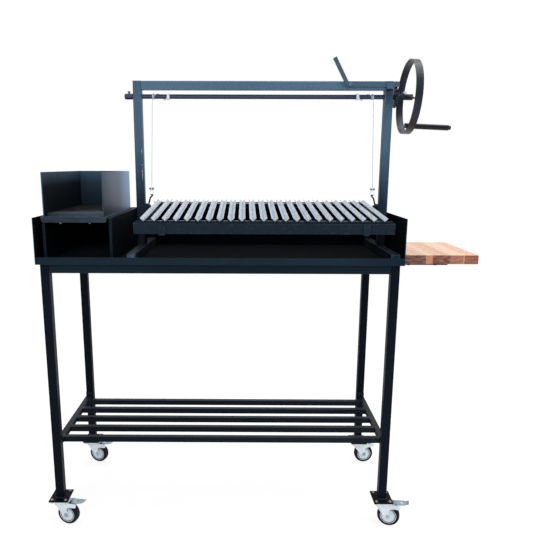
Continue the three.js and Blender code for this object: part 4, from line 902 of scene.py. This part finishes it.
def make_welds():
    """Weld beads where the arch's pieces meet."""
    for name in SIDES:
        low, high = box_mm(f"arch_post_{name}")
        y0, y1 = high.y - POST_DEPTH, high.y
        bm = bmesh.new()
        for x in (low.x, high.x):
            bead(bm, [Vector((x, y, FOOT_TOP_Z)) for y in (y0 + 2, y1 - 2)], 1.6)
        bead(bm, [Vector((x, y0, FOOT_TOP_Z)) for x in (low.x + 2, high.x - 2)], 1.6)
        inner = high.x if name == "left" else low.x
        bead(bm, [Vector((inner, y, BEAM_FACE_Z)) for y in (y0 + 2, y1 - 2)], 1.4)
        piece(f"arch_weld_{name}", bm, "arch_paint", "stand", material=ARCH_WELD)


# Board
BOARD_EDGES = (0, 93.3, 117.4, 139.8, 177.1, 221.9, 227.5, 275)
BOARD_TINTS = ("#D3B19B", "#DDC6B0", "#D6B69E", "#D5B098", "#DDC1AA", "#E8D5C1", "#D9B39A")
END_TINTS = ("#52291F", "#CB9075", "#684033", "#622F27", "#9A6450", "#CB9D80", "#8A5040")
GLUE_GAP, STRIP_ROUND = 0.06, 0.55


def make_board():
    low, high = box_mm("side_board")
    bm = bmesh.new()
    tint = bm.loops.layers.float_color.new("tint")
    end_tint = bm.loops.layers.float_color.new("end_tint")
    centre = bm.verts.layers.float_vector.new("grain_centre")
    done = set()
    for k, (a, b) in enumerate(zip(BOARD_EDGES, BOARD_EDGES[1:])):
        x0, x1 = low.x + a + GLUE_GAP, low.x + b - GLUE_GAP
        plate(bm, [(x0, low.y), (x1, low.y), (x1, high.y), (x0, high.y)], 2, low.z, high.z, bevel=STRIP_ROUND)
        grain = FRAME @ Vector((
            (x0 + x1) / 2 + 60 * math.sin(k * 2.1), 0, (low.z + high.z) / 2 - 70 - 40 * math.cos(k * 1.7),
        ))
        for f in [f for f in bm.faces if f not in done]:
            done.add(f)
            for loop in f.loops:
                loop[tint] = linear(BOARD_TINTS[k])
                loop[end_tint] = linear(END_TINTS[k])
                loop.vert[centre] = grain
    piece("board_strips", bm, "board_wood", "stand", ["side_board"])


# Casters, in millimetres from the floor under each king pin
PLATE_HALF = (33, 40)
PLATE_BOLTS = (24, 31)
PLATE_LOW, PLATE_HIGH = 97, 100
FOOT_TOP, FOOT_WELD_HALF, FOOT_WELD_UP = 104, 15.4, 0.6
FORK_HALF, FORK_SHEET, FORK_TOP, FORK_LOW = 19.5, 2.5, 89.0, 83
FORK_BACK, FORK_FRONT = -22, 36
WHEEL_SPOT, WHEEL_R, HUB_R = (28.0, 40.0), 40.0, 29.0
WHEEL_CENTRE = (WHEEL_SPOT[0], 0, WHEEL_SPOT[1])
PEDAL_PIN = (52.0, 82.5)
PEDAL_SHEET = 2.2
EAR_OUT, EAR_IN = 12.9, 10.7


def fork_cheek():
    boss = ring_points(*WHEEL_SPOT, 11.5, 17, math.radians(206), math.radians(174))
    throat = [(38, 46.5), (34, 51), (31, 56.5), (30.3, 62), (32, 67), (36, 70.6), (42, 72.6)]
    tongue = [(52, 73.2), (62, 73.6), (66, 74.8), (68.4, 77.6), (69, 81), (69, FORK_TOP),
              (FORK_FRONT, FORK_TOP), (FORK_FRONT, 84.5)]
    return [(FORK_BACK, 84.5), (-21.5, 83)] + boss + throat + tongue


def caster_fork(bm):
    for side in (-1, 1):
        ends = sorted((side * FORK_HALF, side * (FORK_HALF - FORK_SHEET)))
        plate(bm, fork_cheek(), 1, *ends, bevel=0.6)
        pin = (PEDAL_PIN[0], side * FORK_HALF, PEDAL_PIN[1])
        rivet = [(0, -side), (3.6, -side), (3.6, side * 0.3), (2.6, side * 1.3), (0, side * 1.6)]
        lathe(bm, rivet, 1, pin, 20)
    outer = [(-FORK_HALF, FORK_LOW), (-FORK_HALF, FORK_TOP), (FORK_HALF, FORK_TOP), (FORK_HALF, FORK_LOW)]
    inner, under = FORK_HALF - FORK_SHEET, FORK_TOP - FORK_SHEET
    lining = [(inner, FORK_LOW), (inner, under), (-inner, under), (-inner, FORK_LOW)]
    arch = rounded_outline(outer, [0, 5, 5, 0], 5) + rounded_outline(lining, [0, 2.6, 2.6, 0], 5)
    plate(bm, arch, 0, FORK_BACK, FORK_FRONT, bevel=0.4)
    cup = [(0, 0), (22.4, 0), (24, 1.4), (24, 3.6), (22.8, 5), (19.6, 5), (18.6, 4), (0, 4)]
    lathe(bm, cup, 2, (0, 0, FORK_TOP - 0.5), 56)


def axle_ends(bm):
    x, z = WHEEL_SPOT
    for side in (-1, 1):
        face = (x, side * FORK_HALF, z)
        lathe(bm, [(0, 0), (8.6, 0), (8.4, side * 0.8), (7.6, side * 1.1), (0, side * 1.1)], 1, face, 32)
        hex_bolt(bm, (x, side * (FORK_HALF + 1), z), 1, side, 5.6, 3.6, thread=3.2 if side > 0 else 0)


def caster_hub(bm):
    half = [(0, 13.2), (4.2, 13.2), (4.2, 14.4), (9.4, 14.4), (10, 13.8), (10.8, 10.9), (20.4, 9.8),
            (22.2, 12.6), (24.2, 13.4), (24.3, 11.2), (26.9, 11.2),
            (27, 13.8), (HUB_R - 0.4, 13.9), (HUB_R, 13.1)]
    profile = half + [(r, -y) for r, y in reversed(half)]
    lathe(bm, profile, 1, WHEEL_CENTRE, 64)


def caster_tyre(bm):
    half = [(HUB_R + 0.3, 13.4), (HUB_R + 0.9, 14.2), (31.6, 14.2), (32, 14.5), (33.4, 14.5), (33.9, 14.1),
            (35.4, 13.7), (37.2, 12.2), (38.6, 10.4), (39.4, 8.2), (WHEEL_R - 0.2, 5), (WHEEL_R, 0)]
    profile = half + [(r, -y) for r, y in reversed(half[:-1])]
    lathe(bm, profile, 1, WHEEL_CENTRE, 72)
    # Dark rubber rings laid in the hub's grooves, put in as painted shade in the grooves.
    for side in (-1, 1):
        ring = [(24.3, side * 11.4), (26.9, side * 11.4), (26.9, side * 13.0), (24.3, side * 13.0)]
        lathe(bm, ring, 1, WHEEL_CENTRE, 56)


def caster_pedal(bm):
    """A pressed sheet with turned-down sides, a slot and a lip that turns up at the toe."""
    stations = (47, 49.5, 53, 57, 60, 62, 66, 70, 74, 76, 79, 82, 85, 87.5, 90, 92.5, 95, 97)
    shares = (-1, -1, -0.92, -0.62, -0.36, 0, 0.36, 0.62, 0.92, 1, 1)
    rows = []
    for x in stations:
        half = 13.0 - 1.8 * max(0, (56 - x) / 9) ** 2 - 3.2 * max(0, (x - 90) / 7) ** 2
        rise = 92.4 + 0.075 * (x - 47) + 0.5 * math.sin((x - 47) * 0.06)
        rise -= 0.9 * math.exp(-((x - 86.5) / 2.4) ** 2)
        rise += 4.4 * max(0, (x - 88) / 9) ** 1.4
        row = []
        for k, share in enumerate(shares):
            skirt = 5.2 * min(1.0, max(0.0, (88 - x) / 8)) if k in (0, len(shares) - 1) else 0
            flare = math.copysign(0.3, share) if skirt else 0
            dish = 0.35 * (1 - share * share)
            row.append(bm.verts.new((x, share * half + flare, rise - skirt - dish)))
        rows.append(row)
    cells = []
    for i, x in enumerate(stations[:-1]):
        for k in range(len(shares) - 1):
            in_slot = 62 <= x < 76 and 4 <= k <= 5
            if not in_slot:
                here, ahead = rows[i], rows[i + 1]
                cells.append(bm.faces.new((here[k], ahead[k], ahead[k + 1], here[k + 1])))
    bmesh.ops.recalc_face_normals(bm, faces=cells)
    bmesh.ops.remove_doubles(bm, verts=[v for row in rows for v in row], dist=0.02)
    cells = [f for f in bm.faces if f.is_valid]
    bmesh.ops.solidify(bm, geom=cells, thickness=PEDAL_SHEET)
    bmesh.ops.delete(bm, geom=[v for v in bm.verts if not v.link_faces], context="VERTS")
    x, z = PEDAL_PIN
    for side in (-1, 1):
        toe = ring_points(x, z, 4.5, 9, math.pi, math.pi)
        ear = [(47.6, 91.5), (47.6, 84)] + toe + [(58, 88), (60, 91.5)]
        plate(bm, ear, 1, *sorted((side * EAR_OUT, side * EAR_IN)), bevel=0.4)
    lathe(bm, [(0, -16), (4.2, -16), (4.5, -15.6), (4.5, 15.6), (4.2, 16), (0, 16)], 1, (x, 0, z), 28)


def caster_plate(bm):
    x, y = PLATE_HALF
    outline = rounded_outline([(-x, -y), (x, -y), (x, y), (-x, y)], 5)
    plate(bm, outline, 2, PLATE_LOW, PLATE_HIGH, bevel=0.6)
    lathe(bm, [(0, 0), (19.4, 0), (21, 1), (21, 2), (22, 3), (0, 3)], 2, (0, 0, 94.5), 48)
    lathe(bm, [(0, 0), (8.2, 0), (9, 0.8), (9, 2.4), (5, 3), (5, 15), (0, 15)], 2, (0, 0, 83), 32)


def plate_bolts(bm):
    for k, (sx, sy) in enumerate(((-1, -1), (1, -1), (1, 1), (-1, 1))):
        x, y = sx * PLATE_BOLTS[0], sy * PLATE_BOLTS[1]
        hex_bolt(bm, (x, y, FOOT_TOP), 2, 1, 4.4, 3.4, washer=5.4, turn=0.3 + 0.9 * k)
        hex_bolt(bm, (x, y, PLATE_LOW), 2, -1, 5.4, 4.2, thread=3, turn=0.7 + 0.5 * k)


def foot_weld(bm):
    half = FOOT_WELD_HALF
    loop = ((-half, -half), (half, -half), (half, half), (-half, half), (-half, -half))
    bead(bm, [Vector((x, y, FOOT_TOP + FOOT_WELD_UP)) for x, y in loop], 1.9)


def make_casters():
    for corner in CORNERS:
        x, y, _ = joint_of(f"swivel_{corner}_turn")["pos_m"]
        axis = joint_of(f"wheel_{corner}_roll")["axis"]
        foot = Matrix.Translation((x, y, 0)) @ Matrix.Scale(MM, 4)
        turned = foot @ Matrix.Rotation(math.atan2(-axis[0], axis[1]), 4, "Z")
        swivel, wheel, pedal = (f"{kind}_{corner}" for kind in ("swivel", "wheel", "pedal"))
        for name, make, slot, body, place, material in (
            ("caster_fork", caster_fork, "zinc", swivel, turned, None),
            ("caster_hub", caster_hub, "hub_plastic", wheel, turned, None),
            ("caster_tyre", caster_tyre, "tyre_rubber", wheel, turned, None),
            ("caster_pedal", caster_pedal, "zinc", pedal, turned, PEDAL_ZINC),
            ("caster_plate", caster_plate, "zinc", "stand", foot, None),
            ("axle_ends", axle_ends, "zinc", swivel, turned, PEDAL_ZINC),
            ("plate_bolts", plate_bolts, "zinc", "stand", foot, YELLOW_ZINC),
            ("foot_weld", foot_weld, "leg_paint", "stand", foot, WELD_PAINT),
        ):
            bm = bmesh.new()
            make(bm)
            title, stands_for = f"{name}_{corner}", ()
            if title in SLOT_OF:
                title, stands_for = f"{name}_shape_{corner}", [title]
            piece(title, bm, slot, body, stands_for, material=material, place=place)


# Stage, in metres
FLOOR_GLOW, FLOOR_SIZE, FLOOR_NEAR, FLOOR_FAR = 0.75, 30, 1.2, 4.0
FLOOR_TINTS = ((0.96, 0.96, 0.96, 1), (0.98, 0.98, 0.98, 1))
WHITE = (1, 1, 1, 1)
WORLD_FILL, WORLD_FRONT, WORLD_BACK, WORLD_TOP = 0.5, 0.12, 0.9, 0.7
LAMPS = (
    ("top", (0.3, 0.4, 3.6), (0, 0.1, 0.9), (3.4, 2.4), 78),
    ("right", (3.2, -1.6, 2.6), (0, 0, 0.9), (2.4, 2.4), 48),
    ("front", (-0.6, -4.4, 2.6), (0, 0, 0.9), (3.2, 2.0), 52),
)


def set_floor():
    """A pale floor that fades to plain white away from the object and keeps its shadow."""
    bpy.ops.mesh.primitive_plane_add(size=FLOOR_SIZE)
    floor = bpy.context.object
    floor.name = "floor"
    s = Surface("floor")
    far = s.add("VectorMath", {0: s.place}, operation="LENGTH").outputs["Value"]
    bright = s.span(far, FLOOR_NEAR, FLOOR_FAR, 1.12, 1.0)
    glow = s.add("Emission", {"Color": WHITE, "Strength": bright})
    plain = s.add("BsdfDiffuse", {"Color": s.mix(s.noise(3, 2, 0.5), *FLOOR_TINTS)})
    path = s.add("LightPath").outputs
    mirrored = s.math("MAXIMUM", path["Is Glossy Ray"], path["Is Transmission Ray"])
    seen = s.math("MAXIMUM", path["Is Camera Ray"], mirrored)
    share = s.times(seen, s.span(far, FLOOR_NEAR, FLOOR_FAR, FLOOR_GLOW, 1.0))
    blend = s.add("MixShader", {0: share, 1: plain.outputs[0], 2: glow.outputs[0]})
    s.put(s.tree.nodes["Material Output"].inputs["Surface"], blend.outputs[0])
    floor.data.materials.append(s.material)


def set_world():
    """White for the camera, soft for the light, and darker in front for what glossy faces reflect."""
    world = bpy.data.worlds.new("studio")
    scene.world = world
    world.use_nodes = True
    n = Nodes(world.node_tree)
    path = n.add("LightPath").outputs
    way = n.add("TexCoord").outputs["Generated"]
    _, y, z = n.add("SeparateXYZ", {0: way}).outputs
    behind = n.span(y, -0.55, 0.25, WORLD_FRONT, WORLD_BACK)
    above = n.span(z, 0.1, 0.6, 0.0, WORLD_TOP)
    strength = n.choose(path["Is Glossy Ray"], n.math("MAXIMUM", behind, above), WORLD_FILL)
    for ray in ("Is Transmission Ray", "Is Camera Ray"):
        strength = n.choose(path[ray], 1.0, strength)
    back = n.tree.nodes["Background"]
    n.put(back.inputs["Strength"], strength)
    n.put(back.inputs["Color"], WHITE)


def set_lamps():
    for name, spot, aim, size, energy in LAMPS:
        data = bpy.data.lights.new(name, "AREA")
        data.shape = "RECTANGLE"
        data.size, data.size_y = size
        data.energy = energy
        lamp = bpy.data.objects.new(name, data)
        scene.collection.objects.link(lamp)
        lamp.location = spot
        lamp.rotation_euler = (Vector(aim) - Vector(spot)).to_track_quat("-Z", "Y").to_euler()


# CAD shapes with rounded edges: square tubes by their axis, the rest by the rounding's width
TUBE_AXES = (
    (0, ("top_rail_front", "top_rail_rear")), (1, both("top_rail")), (2, both("arch_post")),
    (1, both("arch_foot")), (0, ("arch_beam",)),
)
EDGE_WIDTHS = (
    (1.2, ("shelf_rack",)), (0.8, ("tray",)),
    (0.7, (*both("basket_panel"), "basket_platform", "basket_box")), (0.6, ("basket_grate", "board_bracket")),
    (0.7, ("carriage_frame",)), (0.5, ("grill_grate", "grease_gutter")), (0.6, both("carriage_guide")),
    (0.3, both("cable_clip")), (0.6, ("winding_shaft",)), (0.5, ("shaft_collar", "ratchet_wheel")),
    (0.6, ("handwheel",)), (0.8, ("crank_handle",)), (0.6, ("pawl_lever",)), (0.5, ("pawl_pivot_bolt",)),
)
set_camera()
scene.view_settings.view_transform = "Standard"
make_cables()
for corner in CORNERS:
    dress(f"leg_{corner}", tube=2, least=500)
for axis, nodes in TUBE_AXES:
    for node in nodes:
        dress(node, tube=axis)
for width, nodes in EDGE_WIDTHS:
    for node in nodes:
        dress(node, width)
make_casters()
make_bolts()
make_foot_fills()
make_clip_nuts()
make_welds()
make_board()
set_floor()
set_world()
set_lamps()
